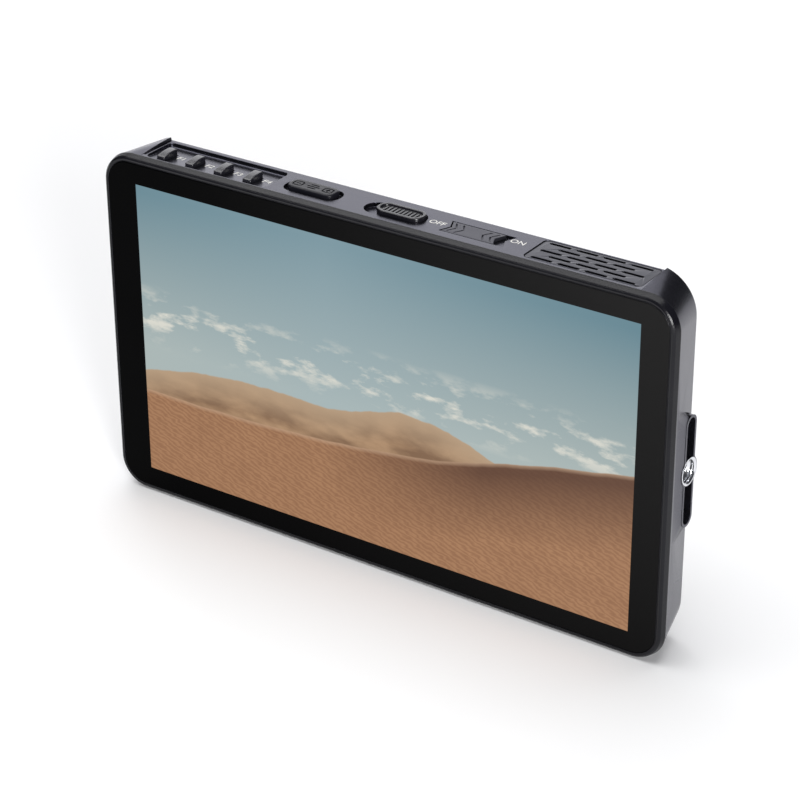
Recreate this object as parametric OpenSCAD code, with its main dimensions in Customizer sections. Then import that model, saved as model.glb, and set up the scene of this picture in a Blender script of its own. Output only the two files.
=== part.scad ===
// On-camera field monitor, about 6 inch, with keys along its top edge.
// X is to the viewer's right, Y runs from the glass to the back, Z is up.
// The origin is under the middle of the body, on the surface it stands on.

/* [Overall] */
// Widest width, where the front frame meets the housing
body_w = 150.7; // [146:0.1:160]
// Tallest height of the front frame
body_h = 87.9; // [85:0.1:100]
// Depth from the glass to the rear face of the main housing
housing_d = 13.5; // [13.5:0.1:16]
// How far the raised back stands behind the main housing
back_d = 9; // [8.6:0.1:14]

/* [Glass and screen] */
// Width of the frame's flat rim at each side of the glass
rim_side = 1.1; // [0.9:0.05:1.4]
// Width of the frame's flat rim above and below the glass
rim_top = 1.05; // [0.9:0.05:1.4]
// Thickness of the cover glass
glass_t = 1.1; // [0.7:0.05:1.3]
// Corner radius of the cover glass
glass_r = 5.9; // [3:0.1:8]
// Clear slit between glass and frame
glass_gap = 0.1; // [0.05:0.01:0.2]
// Thickness of the tape and the clear bond behind the glass
tape_t = 0.15; // [0.1:0.01:0.3]
// Sideways shift of the display stack in the body
screen_shift = 0.7; // [0:0.1:1]
// How far the display cell ends inside the glass at each side
cell_side = 4.4; // [4.2:0.1:6.5]
// How far the display cell ends inside the glass at its top and foot
cell_top = 2.55; // [2.4:0.05:4.2]
// Thickness of the display cell
cell_t = 1.3; // [1:0.05:1.5]
// Thickness of the backlight tray
tray_t = 2.3; // [1.8:0.1:2.4]
// Sheet thickness of the backlight tray
tray_wall = 0.3; // [0.2:0.05:0.5]

/* [Front frame] */
// Thickness of the frame, from its face to its parting line
frame_t = 2.05; // [1.9:0.05:2.3]
// How far the side facet of the frame slopes outwards
facet = 0.45; // [0.2:0.05:0.6]
// Corner radius of the frame at its parting line
frame_r = 7.5; // [6:0.1:10]
// Length of the skirt that locates the frame in the housing
skirt_l = 0.9; // [0.5:0.05:1]
// Clearance of the skirt in the housing
skirt_gap = 0.15; // [0.1:0.05:0.3]

/* [Main housing] */
// How far the housing's front edge lies inside the frame's edge
housing_inset = 0.25; // [0.1:0.05:0.6]
// How much each side draws in from the front edge to the rear edge
side_draft = 2.2; // [0:0.1:3]
// Corner radius at the rear edge of the housing
rear_r = 9.8; // [7:0.1:14]
// Thickness of the side walls
side_wall = 1.7; // [1.2:0.1:2]
// Thickness of the top and bottom walls
top_wall = 2.45; // [2:0.05:2.6]
// Thickness of the rear wall
rear_wall = 1.6; // [1.2:0.1:2]
// How far the two ends of the top rise above the key strip at the rear
lip_h = 0.9; // [0.3:0.1:1.5]
// Width of each raised end, from the rear corner inwards
lip_w = 7.6; // [6:0.1:12]
// How far the key strip lies below the frame's top edge
strip_drop = 0.1; // [0:0.05:0.5]

/* [Function keys] */
// Number of function keys
key_count = 4; // [2:1:4]
// From the left end of the pocket to the middle of the first function key
key_margin = 3.8; // [3.4:0.1:4.2]
// Spacing of the function keys
key_pitch = 8.15; // [7:0.05:8.3]
// Width of a function key
key_w = 2.3; // [2:0.1:3]
// Length of a function key, from front to back
key_l = 5; // [4.6:0.1:5.2]
// Depth behind the glass of the middle of the function keys
key_y = 5.8; // [5.8:0.1:6.2]
// Height of a function key's crown above the key strip
key_rise = 0.85; // [0.4:0.05:1.5]
// How much the front end of a key lies below its crown
key_crown = 0.5; // [0.3:0.05:0.9]
// How far behind the middle of a key its crown is highest
key_lean = 1.2; // [0:0.1:1.6]
// Clearance of a key in its hole
key_gap = 0.15; // [0.1:0.01:0.25]
// Travel of a function key
key_travel = 0.5; // [0.3:0.05:0.5]
// Room between the left raised end and the pocket that holds the function keys
pocket_margin = 0.9; // [0.8:0.05:1.6]
// Length of the pocket
pocket_l = 33.9; // [32.5:0.1:34.5]
// Width of the groove along the left raised end
lip_groove_w = 0.5; // [0.3:0.05:0.6]
// Depth of that groove at its front end, below the key strip
lip_groove_d = 0.9; // [0.4:0.05:1]
// Depth behind the glass of the pocket's rear wall
pocket_y1 = 12.2; // [11:0.1:12.6]
// Depth of the pocket at its rear wall
pocket_d = 1.1; // [0.6:0.05:1.2]
// Depth of the pocket at the front frame
pocket_front_d = 0.45; // [0.1:0.05:0.6]

/* [Rocker button] */
// Gap between the pocket and the rocker's well, before the spare room is shared out
before_rocker = 2.8; // [2:0.05:4]
// Depth behind the glass of the middle of the rocker
rocker_y = 7.2; // [7.2:0.1:7.5]
// Length of the rocker button
rocker_l = 12.6; // [11:0.1:13]
// Width of the rocker button
rocker_w = 4.7; // [4:0.1:5]
// Height of the rocker above the key strip
rocker_rise = 0.9; // [0.5:0.05:1.5]
// Room round the rocker in its well
rocker_room = 1.1; // [0.6:0.05:1.2]
// Depth of the well
well_d = 1; // [0.6:0.05:1.2]
// Radius of the rocker's pin
rocker_pin_r = 0.6; // [0.5:0.05:0.7]
// Running clearance of the rocker on its pin
pin_gap = 0.05; // [0.02:0.01:0.08]

/* [Thumb slide] */
// Gap between the wells of the rocker and the thumb slide, before the sharing
before_thumb = 6.85; // [5:0.05:8]
// Depth behind the glass of the middle of the thumb slide
thumb_y = 7.1; // [7:0.1:7.4]
// Length of the thumb slide
thumb_l = 12.1; // [11:0.1:13]
// Width of the thumb slide
thumb_w = 5; // [4.4:0.1:5.4]
// Height of the thumb slide above the key strip
thumb_rise = 0.9; // [0.5:0.05:1.5]
// Travel of the thumb slide
thumb_travel = 3; // [2:0.1:3.2]
// Clearance at the ends of both slides' travel
end_gap = 0.3; // [0.15:0.05:0.4]

/* [Power slide] */
// Gap between the thumb slide's well and the power slide's recess, before the sharing
before_power = 4.95; // [4:0.05:6]
// Depth behind the glass of the middle of the power slide
power_y = 7.4; // [7:0.1:7.6]
// Length of the power slide's recess
power_l = 16.2; // [15:0.1:17]
// Width of the power slide's recess
power_w = 5.7; // [5:0.1:6]
// Depth of the notch in each end of the recess and of the slide
power_notch = 1.2; // [0.6:0.1:1.6]
// Travel of the power slide
power_travel = 2.2; // [1.5:0.1:2.4]
// Clearance between the power slide and the sides of its recess
power_gap = 0.15; // [0.1:0.01:0.25]

/* [Vent grille] */
// Gap between the power slide's recess and the grille, before the sharing
before_vent = 5.7; // [4:0.05:7]
// Room between the grille and the right raised end
vent_margin = 0.4; // [0.3:0.05:0.8]
// Width of the grille
vent_w = 28.4; // [28:0.1:28.6]
// Depth behind the glass of the front edge of the grille
vent_y0 = 2.9; // [2.8:0.1:3]
// Depth behind the glass of the rear edge of the grille
vent_y1 = 13; // [12.7:0.1:13.1]
// Seam round the grille
vent_gap = 0.2; // [0.1:0.05:0.3]
// Length of one slot
slot_l = 5.2; // [4:0.1:5.6]
// Width of one slot
slot_w = 0.8; // [0.5:0.05:1]
// Spacing of the slots in a row
slot_pitch = 6.6; // [6.2:0.05:6.7]
// Spacing of the rows
row_pitch = 1.98; // [1.7:0.01:2]

/* [Mounting points] */
// Depth behind the glass of the side mounting points
mount_y = 9.85; // [9.7:0.05:9.95]
// Height of the side mounting points above the middle of the body
mount_rise = 0.5; // [-1:0.1:1.5]
// Length of the locating groove through each side mounting point
groove_l = 25.9; // [20:0.1:27]
// Width of the locating groove
groove_w = 3.3; // [2.6:0.1:3.6]
// Depth of the locating groove
groove_d = 2.4; // [1.6:0.1:2.6]
// Rim of the pad round the groove
groove_rim = 0.65; // [0.4:0.05:0.8]
// Radius of the threaded bore, for a quarter-inch 20-thread screw
thread_r = 2.55; // [2.5:0.01:2.65]
// Outer radius of the side inserts
insert_r = 3.3; // [3.1:0.05:3.35]
// Length of the side inserts
insert_l = 6.4; // [5.5:0.1:7]
// Outer radius of the bottom insert
foot_insert_r = 3.4; // [3.2:0.05:3.5]
// Length of the bottom insert
foot_insert_l = 5.4; // [4.8:0.1:5.6]

/* [Raised back] */
// How far the raised back stands inside the body at each side
back_side = 19.35; // [17:0.05:19.4]
// How far the raised back stands inside the body at its top and foot
back_top = 10.95; // [9:0.05:11]
// How much its walls draw in on each side
back_draft = 1.6; // [0.5:0.1:2]
// Corner radius of the raised back
back_r = 7; // [4:0.1:9]
// Wall of the raised back
back_wall = 1.5; // [1.2:0.1:1.8]
// Width of the battery recess
bay_w = 40.4; // [40:0.1:42]
// Depth of the battery recess
bay_d = 4.6; // [4.3:0.1:5]
// Wall left below the battery recess
bay_foot = 5; // [4.5:0.1:6]
// Wall left above the battery recess
bay_head = 4; // [3.5:0.1:5]
// Thickness of the battery plate
plate_t = 1.2; // [1:0.1:1.4]
// Depth of the clear space under the battery rails' lips
rail_h = 1.9; // [1.5:0.1:2]
// Thickness of the rails' lips
lip_t = 0.9; // [0.6:0.1:1.1]
// Travel of the battery latch
latch_travel = 1.8; // [1.2:0.1:1.8]
// Clearance round the battery latch
latch_gap = 0.15; // [0.1:0.01:0.3]

/* [Sockets] */
// Height of the video input above the middle of the body
video_in_rise = 12; // [10:0.5:14]
// Height of the video output above the middle of the body
video_out_rise = -10; // [-12:0.5:-8]
// Height of the power socket above the middle of the body
usb_rise = -14; // [-18:0.5:-10]
// Height of the headphone socket above the middle of the body
jack_rise = 10; // [4:0.5:14]
// Radius of the headphone socket, for a 3.5 mm plug
jack_r = 1.8; // [1.78:0.01:1.85]
// Clearance of the sockets in their openings
socket_gap = 0.1; // [0.05:0.05:0.3]

/* [Inside] */
// Thickness of the middle plate behind the display
mid_t = 0.8; // [0.6:0.1:0.8]
// Thickness of the circuit boards
board_t = 1.2; // [1:0.1:1.2]
// How far the main board ends inside the raised back, on every side
board_inset = 8; // [7.5:0.1:9]
// Number of fins on the heat sink
fin_count = 6; // [4:1:7]

/* [Hidden] */

e = 0.01;
land = 0.15;
total_d = housing_d + back_d;
front_y = -total_d / 2;
mid_z = body_h / 2;

// The glass fills the frame, and the display cell lies inside it
glass_w = body_w - 2 * facet - 2 * rim_side - 2 * glass_gap;
glass_h = body_h - 2 * facet - 2 * rim_top - 2 * glass_gap;
cell_w = glass_w - 2 * cell_side;
cell_h = glass_h - 2 * cell_top;

// The display stack, one depth after another
tape_y = glass_t;
cell_y = glass_t + tape_t;
tray_y = cell_y + cell_t;
mid_y = tray_y + tray_t + 0.15;
stack_gap = 0.4;

// The housing's walls
case_w = body_w - 2 * housing_inset;
case_h = body_h - strip_drop;
case_r = frame_r - housing_inset;
case_rear_w = case_w - 2 * side_draft;
strip_z = case_h;
ceiling_z = strip_z - top_wall;
floor_z = top_wall;
cavity_y1 = housing_d - rear_wall;

// The key strip's controls stand in a row; when its length changes, the gaps share the change
thumb_well_l = thumb_l + thumb_travel + 2 * end_gap;
rocker_well_l = rocker_l + 2 * rocker_room;
strip_x1 = case_rear_w / 2 - lip_w;
pocket_x0 = -strip_x1 + pocket_margin;
pocket_x1 = pocket_x0 + pocket_l;
vent_x = strip_x1 - vent_margin - vent_w / 2;
spare = vent_x - vent_w / 2 - pocket_x1 - rocker_well_l - thumb_well_l - power_l;
share = spare / (before_rocker + before_thumb + before_power + before_vent);
key_x = pocket_x0 + key_margin;
rocker_x = pocket_x1 + share * before_rocker + rocker_well_l / 2;
thumb_x = rocker_x + rocker_well_l / 2 + share * before_thumb + thumb_well_l / 2;
power_x = thumb_x + thumb_well_l / 2 + share * before_power + power_l / 2;

// Boards and switches below the key strip
key_top_gap = 0.15;
switch_gap = 0.1;
flange_t = 0.8;
stem_z = ceiling_z - key_top_gap - flange_t - 0.9;
plunger_z = stem_z - key_travel - switch_gap;
switch_h = 1.1;
plunger_h = 0.35;
key_board_z = plunger_z - plunger_h - switch_h;
key_board_t = 1;
key_board_gap = 0.5;
key_board_y0 = 6.2;
key_board_y1 = cavity_y1 - key_board_gap;
key_board_x0 = -case_w / 2 + 8.1;
key_board_x1 = power_x + 10.3;
stem_y = 7.6;

// The rocker turns on a pin under the wall
rocker_z = ceiling_z - 1.15;
hub_r = rocker_pin_r + 0.7;
hub_l = 2.1;
ear_t = 1.1;
ear_gap = 0.1;
neck_w = 2.1;
neck_l = rocker_l - 1;
rocker_stem_x = 4.6;
rocker_hole_gap = 0.3;
rocker_lift = 0.5;

// The slides' stems go through a slot in the wall
slide_stem_l = 3;
slide_stem_w = 1.5;
slide_plate_l = 6;
slide_plate_w = 3.6;
slide_plate_t = 0.6;
slide_rest_gap = 0.05;
thumb_rest_x = thumb_x + thumb_travel / 2;
power_slide_l = power_l - power_travel - 2 * end_gap;
power_rest_x = power_x - power_travel / 2;
power_d = 0.9;

// The mounting points
mount_z = mid_z + mount_rise;
pad_face_x = case_w / 2 - 0.2;
foot_y = 9.6;

// The raised back
back_w = body_w - 2 * back_side;
back_h = body_h - 2 * back_top;
bay_h = back_h - bay_foot - bay_head;
board_w = back_w - 2 * board_inset;
board_h = back_h - 2 * board_inset;
back_front_y = housing_d;
bay_floor_y = total_d - bay_d;
bay_wall = 1.2;
bay_z0 = mid_z - back_h / 2 + bay_foot;
latch_w = 8;
latch_z0 = bay_z0 + bay_h - 9;
latch_z1 = bay_z0 + bay_h - 3.5;
latch_back_y = bay_floor_y - bay_wall;
foot_t = 0.7;
foot_lap = 1;
latch_room = latch_w / 2 + foot_lap + 2.5;
post_x = back_w / 2 - 5.6;
post_z = back_h / 2 - 5.6;
post_r = 2.9;
screw_r = 1;
screw_head_r = 2.1;
screw_head_t = 1.3;
head_y = total_d - 1.5;
opening_w = board_w + 3;
opening_h = board_h + 2.4;
board_y = housing_d + 0.35;
board_rear_y = board_y + board_t;
post_spot_x = board_w / 2 - 18;
post_spot_z = board_h / 2 - 4;
case_screw_x = body_w / 2 - 9.85;
case_screw_z = body_h / 2 - 11.95;
stand_r = 2;
case_head_y = housing_d - screw_head_t - 0.1;

// The sockets stand on the main board, with their mouths in the raised back's sides
socket_x = back_w / 2 - back_draft;
video_h = 5.8;
video_l = 15;
usb_h = 3.3;
usb_l = 9;
jack_h = 5.6;
jack_l = 6;

// Contacts at the foot of the battery recess
contact_pitch = 6;
contact_block_w = 20;
contact_block_t = 2.6;
contact_block_h = 4.5;
contact_y = bay_floor_y + plate_t + 0.6;
plate_gap = 0.1;
rail_w = 1.6;
rail_lip = 1.2;
seat_t = 0.2;
seat_gap = 1;

// Cooling slots between the battery recess and the raised back's walls
cool_in = 7.8;
cool_out = 10;
cool_count = 7;
cool_pitch = 5;
cool_w = 1.6;
cool_l = back_w / 2 - bay_w / 2 - cool_in - cool_out;
cool_x = bay_w / 2 + cool_in + cool_l / 2;

// The heat sink stands between the board's stands and the raised back's posts
sink_h = 31;
sink_x0 = max(key_board_x1 + 0.5, post_spot_x + stand_r + 1.5);
sink_w = post_x - post_r - 1 - sink_x0;
sink_z1 = mid_z + cell_h / 2 - 5.8;
sink_base_t = 1.2;
fin_t = 0.9;

// The display's ribbon and the chips on the main board
ribbon_x0 = 6;
ribbon_w = post_spot_x - 2 * stand_r - ribbon_x0;
ribbon_y = cavity_y1 - 1.3;
ribbon_t = 0.25;
chip_w = 16;
chip_t = 1.3;
small_chip_w = 10;
small_chip_t = 1.1;

// The light behind the display, and the ledge below the grille
strip_w = 1.2;
guide_gap = 0.2;
ledge = 0.8;
grille_t = 1.2;
pad_reach = 6.5;
mouth_l = 0.3;

module at_depth(y) {
    translate([0, front_y + y, 0]) children();
}

module round_rect(w, h, r) {
    square([w - 2 * r, h], center = true);
    square([w, h - 2 * r], center = true);
    for (sx = [-1, 1], sz = [-1, 1])
        translate([sx * (w / 2 - r), sz * (h / 2 - r)]) circle(r, $fn = 48);
}

module stadium(l, w) {
    square([l - w, w], center = true);
    for (s = [-1, 1])
        translate([s * (l - w) / 2, 0]) circle(w / 2, $fn = 48);
}

// A flat outline in X and Z, given its thickness along Y
module upright(t) {
    rotate([90, 0, 0]) translate([0, 0, -t]) linear_extrude(t) children();
}

// A rounded plate that faces the viewer, from depth y0 to depth y1
module plate(w, h, r, y0, y1, x = 0, z = mid_z) {
    at_depth(y0) translate([x, 0, z]) upright(y1 - y0) round_rect(w, h, r);
}

// A rounded plate whose walls draw in from depth y0 to depth y1, with a short land at each end
module drawn_plate(w0, h0, r0, w1, h1, r1, y0, y1, z0 = mid_z, z1 = mid_z) {
    hull() {
        plate(w0, h0, r0, y0, y0 + land, z = z0);
        plate(w1, h1, r1, y1 - land, y1, z = z1);
    }
}

// A block from one corner to the other, in X, depth and Z
module block(x0, x1, y0, y1, z0, z1) {
    at_depth(y0) translate([x0, 0, z0]) cube([x1 - x0, y1 - y0, z1 - z0]);
}

// A round bar along Y, from depth y0 to depth y1
module bar(r, y0, y1, x, z) {
    at_depth(y0) translate([x, 0, z]) rotate([-90, 0, 0]) cylinder(r = r, h = y1 - y0, $fn = 48);
}

// A flat outline in X and depth, raised from z0 to z1
module raised(x, y, z0, z1) {
    at_depth(y) translate([x, 0, z0]) linear_extrude(z1 - z0) children();
}

// An outline in depth and height, carried along X from x0 to x1
module carried(x0, x1) {
    at_depth(0) translate([x0, 0, 0]) rotate([90, 0, 90]) linear_extrude(x1 - x0) children();
}

module front_frame() {
    rim_w = body_w - 2 * facet;
    rim_h = body_h - 2 * facet;
    skirt_draft = side_draft * skirt_l / (cavity_y1 - frame_t);
    skirt_w = case_w - 2 * side_wall - 2 * skirt_gap - 2 * skirt_draft;
    skirt_h = ceiling_z - floor_z - 2 * skirt_gap;
    color([0.09, 0.09, 0.1]) difference() {
        union() {
            drawn_plate(rim_w, rim_h, frame_r - facet, body_w, body_h, frame_r, 0, frame_t - 0.2);
            plate(body_w, body_h, frame_r, frame_t - 0.2 - e, frame_t);
            plate(skirt_w, skirt_h, frame_r - side_wall, frame_t - e, frame_t + skirt_l,
                  z = (ceiling_z + floor_z) / 2);
        }
        plate(glass_w + 2 * glass_gap, glass_h + 2 * glass_gap, glass_r + glass_gap, -1, cell_y);
        plate(cell_w + 2 * stack_gap, cell_h + 2 * stack_gap, 1, -1, housing_d, x = screen_shift);
    }
}

module cover_glass() {
    color([0.05, 0.05, 0.06, 0.9]) plate(glass_w, glass_h, glass_r, 0, glass_t);
}

// The tape follows the ledge of the frame behind the glass
module glass_tape() {
    color([0.1, 0.1, 0.1]) difference() {
        plate(glass_w - 0.6, glass_h - 0.6, glass_r, tape_y, cell_y);
        plate(cell_w + 2 * stack_gap + 0.6, cell_h + 2 * stack_gap + 0.6, 1.2, tape_y - 1, cell_y + 1,
              x = screen_shift);
    }
}

module clear_bond() {
    color([0.8, 0.85, 0.9, 0.5]) plate(cell_w - 1, cell_h - 1, 0.6, tape_y, cell_y, x = screen_shift);
}

module display_cell() {
    color([0.5, 0.6, 0.62]) plate(cell_w, cell_h, 0.6, cell_y, tray_y, x = screen_shift);
}

module backlight_tray() {
    color([0.75, 0.76, 0.78]) difference() {
        plate(cell_w, cell_h, 0.6, tray_y, tray_y + tray_t, x = screen_shift);
        plate(cell_w - 2 * tray_wall, cell_h - 2 * tray_wall, 0.5, tray_y - 1,
              tray_y + tray_t - tray_wall, x = screen_shift);
    }
}

module light_guide() {
    inner_w = cell_w - 2 * tray_wall;
    x0 = screen_shift - inner_w / 2 + strip_w + 2 * guide_gap;
    x1 = screen_shift + inner_w / 2 - guide_gap;
    half_h = cell_h / 2 - tray_wall - guide_gap;
    color([0.92, 0.95, 0.97])
        block(x0, x1, tray_y + guide_gap, tray_y + tray_t - tray_wall, mid_z - half_h, mid_z + half_h);
}

module led_strip() {
    x0 = screen_shift - cell_w / 2 + tray_wall + guide_gap;
    half_h = cell_h / 2 - 3;
    color([0.95, 0.9, 0.6])
        block(x0, x0 + strip_w, tray_y + guide_gap, tray_y + tray_t - tray_wall,
              mid_z - half_h, mid_z + half_h);
}

// A stiff plate behind the display, with four stands that take the case screws
module mid_plate() {
    mid_w = cell_w - 2;
    mid_h = cell_h - 4;
    window_w = 30;
    window_x = 24;
    color([0.62, 0.63, 0.65]) difference() {
        union() {
            plate(mid_w, mid_h, 2, mid_y, mid_y + mid_t);
            for (sx = [-1, 1], sz = [-1, 1])
                bar(stand_r, mid_y, cavity_y1, sx * case_screw_x, mid_z + sz * case_screw_z);
        }
        for (sx = [-1, 1], sz = [-1, 1])
            bar(screw_r, mid_y - 1, cavity_y1 + 1, sx * case_screw_x, mid_z + sz * case_screw_z);
        for (sx = [-1, 1])
            plate(window_w, window_w, 4, mid_y - 1, mid_y + mid_t + 1, x = sx * window_x);
    }
}

// The body of the housing: a rounded tub that narrows to the rear and rises to the lips
module housing_form() {
    lip_z = case_h + lip_h;
    drawn_plate(case_w, case_h, case_r, case_rear_w, lip_z, rear_r, frame_t, housing_d,
                case_h / 2, lip_z / 2);
}

module housing_cavity() {
    inner_h = ceiling_z - floor_z;
    inner_z = (ceiling_z + floor_z) / 2;
    drawn_plate(case_w - 2 * side_wall, inner_h, case_r - side_wall,
                case_rear_w - 2 * side_wall, inner_h, rear_r - side_wall,
                frame_t - land / 2, cavity_y1, inner_z, inner_z);
}

// The pocket's floor slopes down to a rear wall with a hollow foot
module key_pocket() {
    foot_r = 0.8;
    z1 = strip_z - pocket_d;
    intersection() {
        carried(pocket_x0, pocket_x1) difference() {
            polygon([[frame_t - 0.4, strip_z + 3], [frame_t - 0.4, strip_z - pocket_front_d], [pocket_y1, z1],
                     [pocket_y1, strip_z + 3]]);
            translate([pocket_y1 - foot_r, z1 - 1]) difference() {
                square([foot_r + 1, foot_r + 1]);
                translate([0, foot_r + 1]) circle(foot_r, $fn = 32);
            }
        }
        union() {
            raised((pocket_x0 + pocket_x1) / 2, pocket_y1 / 2, strip_z - 2, strip_z + 3)
                round_rect(pocket_x1 - pocket_x0, pocket_y1, 1.6);
            block(pocket_x0, pocket_x1, 0, pocket_y1 - 2, strip_z - 2, strip_z + 3);
        }
    }
}

// A groove that runs along the left raised end and gets shallower to the rear
module lip_groove() {
    y0 = frame_t + 0.9;
    carried(-strip_x1, -strip_x1 + lip_groove_w) polygon([
        [y0, strip_z + 3], [y0, strip_z - lip_groove_d], [housing_d + 1, strip_z - 0.1],
        [housing_d + 1, strip_z + 3]]);
}

module power_outline(l, w, notch) {
    polygon([[-l / 2, w / 2], [-l / 2 + notch, 0], [-l / 2, -w / 2],
             [l / 2, -w / 2], [l / 2 - notch, 0], [l / 2, w / 2]]);
}

module slide_slot(x, y, travel) {
    raised(x, y, ceiling_z - 1, strip_z)
        square([slide_stem_l + travel + 2 * end_gap, slide_stem_w + 0.3], center = true);
}

// Everything that is cut into the key strip
module strip_cuts() {
    key_pocket();
    lip_groove();
    for (i = [0:key_count - 1])
        raised(key_x + i * key_pitch, key_y, ceiling_z - 1, strip_z + 1)
            square([key_w + 2 * key_gap, key_l + 2 * key_gap], center = true);
    raised(rocker_x, rocker_y, strip_z - well_d, strip_z + 1)
        round_rect(rocker_l + 2 * rocker_room, rocker_w + 1.2, 2.6);
    raised(rocker_x, rocker_y, ceiling_z - 1, strip_z)
        square([neck_l + 2 * rocker_hole_gap, neck_w + 2 * rocker_hole_gap], center = true);
    raised(thumb_x, thumb_y, strip_z - well_d, strip_z + 1) stadium(thumb_well_l, thumb_w + 1);
    slide_slot(thumb_x, thumb_y, thumb_travel);
    raised(power_x, power_y, strip_z - power_d, strip_z + 1) power_outline(power_l, power_w, power_notch);
    slide_slot(power_x, power_y, power_travel);
}

// The opening for the grille has a ledge all round
module vent_opening() {
    yc = (vent_y0 + vent_y1) / 2;
    l = vent_y1 - vent_y0;
    raised(vent_x, yc, strip_z - grille_t, strip_z + 1) round_rect(vent_w, l, 1.2);
    raised(vent_x, yc - ledge / 2, ceiling_z - 1, strip_z)
        square([vent_w - 2 * ledge, l - 2 * ledge - 1], center = true);
}

// A flat pad with a round boss for the insert
module side_pad(s) {
    boss_r = insert_r + 0.2;
    translate([s * (pad_face_x - pad_reach), front_y + mount_y, mount_z]) rotate([0, s * 90, 0])
        linear_extrude(pad_reach) {
            stadium(groove_l + 2 * groove_rim, groove_w + 2 * groove_rim);
            circle(boss_r, $fn = 64);
        }
}

module side_pad_cuts(s) {
    translate([s * (pad_face_x - groove_d), front_y + mount_y, mount_z]) rotate([0, s * 90, 0])
        linear_extrude(groove_d + 1) stadium(groove_l, groove_w);
    translate([s * (pad_face_x - insert_l), front_y + mount_y, mount_z]) rotate([0, s * 90, 0])
        cylinder(r = insert_r, h = insert_l + 1, $fn = 64);
}

module rocker_ears() {
    y0 = rocker_y - hub_l / 2 - ear_gap - ear_t;
    for (y = [y0, rocker_y + hub_l / 2 + ear_gap])
        block(rocker_x - hub_r, rocker_x + hub_r, y, y + ear_t, rocker_z - hub_r + 0.2, ceiling_z + e);
}

module rear_housing() {
    color([0.36, 0.37, 0.41]) difference() {
        union() {
            difference() {
                housing_form();
                housing_cavity();
                block(-strip_x1, strip_x1, 0, housing_d + 1, strip_z, strip_z + 4);
                plate(opening_w, opening_h, 3, cavity_y1 - 1, housing_d + 1);
            }
            intersection() {
                union() {
                    for (s = [-1, 1]) side_pad(s);
                }
                block(-body_w, body_w, mid_y + mid_t + 0.15, housing_d, 0, body_h);
            }
            rocker_ears();
            intersection() {
                at_depth(foot_y) cylinder(r = foot_insert_r + 1, h = foot_insert_l, $fn = 64);
                block(-20, 20, mid_y, housing_d, 0, 20);
            }
            for (sx = [-1, 1], sz = [-1, 1])
                bar(post_r, housing_d - 4, housing_d, sx * post_x, mid_z + sz * post_z);
        }
        strip_cuts();
        vent_opening();
        for (s = [-1, 1]) side_pad_cuts(s);
        at_depth(foot_y) translate([0, 0, -1]) cylinder(r = foot_insert_r, h = foot_insert_l + 2, $fn = 64);
        for (sx = [-1, 1], sz = [-1, 1]) {
            bar(screw_r, housing_d - 5, housing_d + 1, sx * post_x, mid_z + sz * post_z);
            bar(screw_r + 0.2, cavity_y1 - 1, housing_d + 1, sx * case_screw_x, mid_z + sz * case_screw_z);
            bar(screw_head_r + 0.1, case_head_y, housing_d + 1, sx * case_screw_x,
                mid_z + sz * case_screw_z);
        }
        bar(rocker_pin_r, rocker_y - 3.5, rocker_y + 3.5, rocker_x, rocker_z);
    }
}

// Staggered rows of slots in a plate that drops into the key strip
module vent_grille() {
    yc = (vent_y0 + vent_y1) / 2;
    l = vent_y1 - vent_y0;
    plate_z0 = strip_z - grille_t;
    color([0.34, 0.35, 0.39]) difference() {
        raised(vent_x, yc, plate_z0, strip_z)
            round_rect(vent_w - 2 * vent_gap, l - 2 * vent_gap, 1.2 - vent_gap);
        for (row = [0:4]) {
            n = row % 2 == 0 ? 4 : 3;
            y = yc - 0.2 + (row - 2) * row_pitch;
            for (i = [0:n - 1])
                raised(vent_x + (i - (n - 1) / 2) * slot_pitch, y, plate_z0 - 1, strip_z + 1)
                    stadium(slot_l, slot_w);
        }
    }
}

module key_board() {
    color([0.1, 0.35, 0.2])
        block(key_board_x0, key_board_x1, key_board_y0, key_board_y1, key_board_z - key_board_t, key_board_z);
}

// One small dome switch: a square body with a round plunger
module dome_switch(x, y) {
    block(x - 1.5, x + 1.5, y - 1.3, y + 1.3, key_board_z, key_board_z + switch_h);
    at_depth(y) translate([x, 0, key_board_z]) cylinder(r = 0.7, h = switch_h + plunger_h, $fn = 32);
}

module key_switches() {
    color([0.75, 0.75, 0.77]) {
        for (i = [0:key_count - 1]) dome_switch(key_x + i * key_pitch, stem_y);
        for (s = [-1, 1]) dome_switch(rocker_x + s * rocker_stem_x, rocker_y + 0.5);
    }
}

// A narrow key whose crowned top is highest near its rear end, a flange under the wall and a stem
module function_key(i) {
    x = key_x + i * key_pitch;
    half = key_l / 2;
    reach = half + key_lean;
    crown_r = (reach * reach + key_crown * key_crown) / (2 * key_crown);
    top_z = strip_z + key_rise;
    flange_z = ceiling_z - key_top_gap;
    color([0.2, 0.2, 0.22]) {
        intersection() {
            carried(x - key_w / 2, x + key_w / 2) intersection() {
                translate([key_y - half, flange_z - e]) square([key_l, top_z - flange_z + 1]);
                translate([key_y + key_lean, top_z - crown_r]) circle(crown_r, $fn = 160);
            }
            block(x - key_w / 2, x + key_w / 2, key_y - half, key_y + half, flange_z - 1, top_z + 1);
        }
        block(x - key_w / 2 - 0.5, x + key_w / 2 + 0.5, key_y - half, key_y + half + 0.4,
              flange_z - flange_t, flange_z);
        block(x - 0.8, x + 0.8, stem_y - 0.7, stem_y + 0.7, stem_z, flange_z - flange_t + e);
    }
}
module function_key_1() { function_key(0); }
module function_key_2() { function_key(1); }
module function_key_3() { function_key(2); }
module function_key_4() { function_key(3); }

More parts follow.
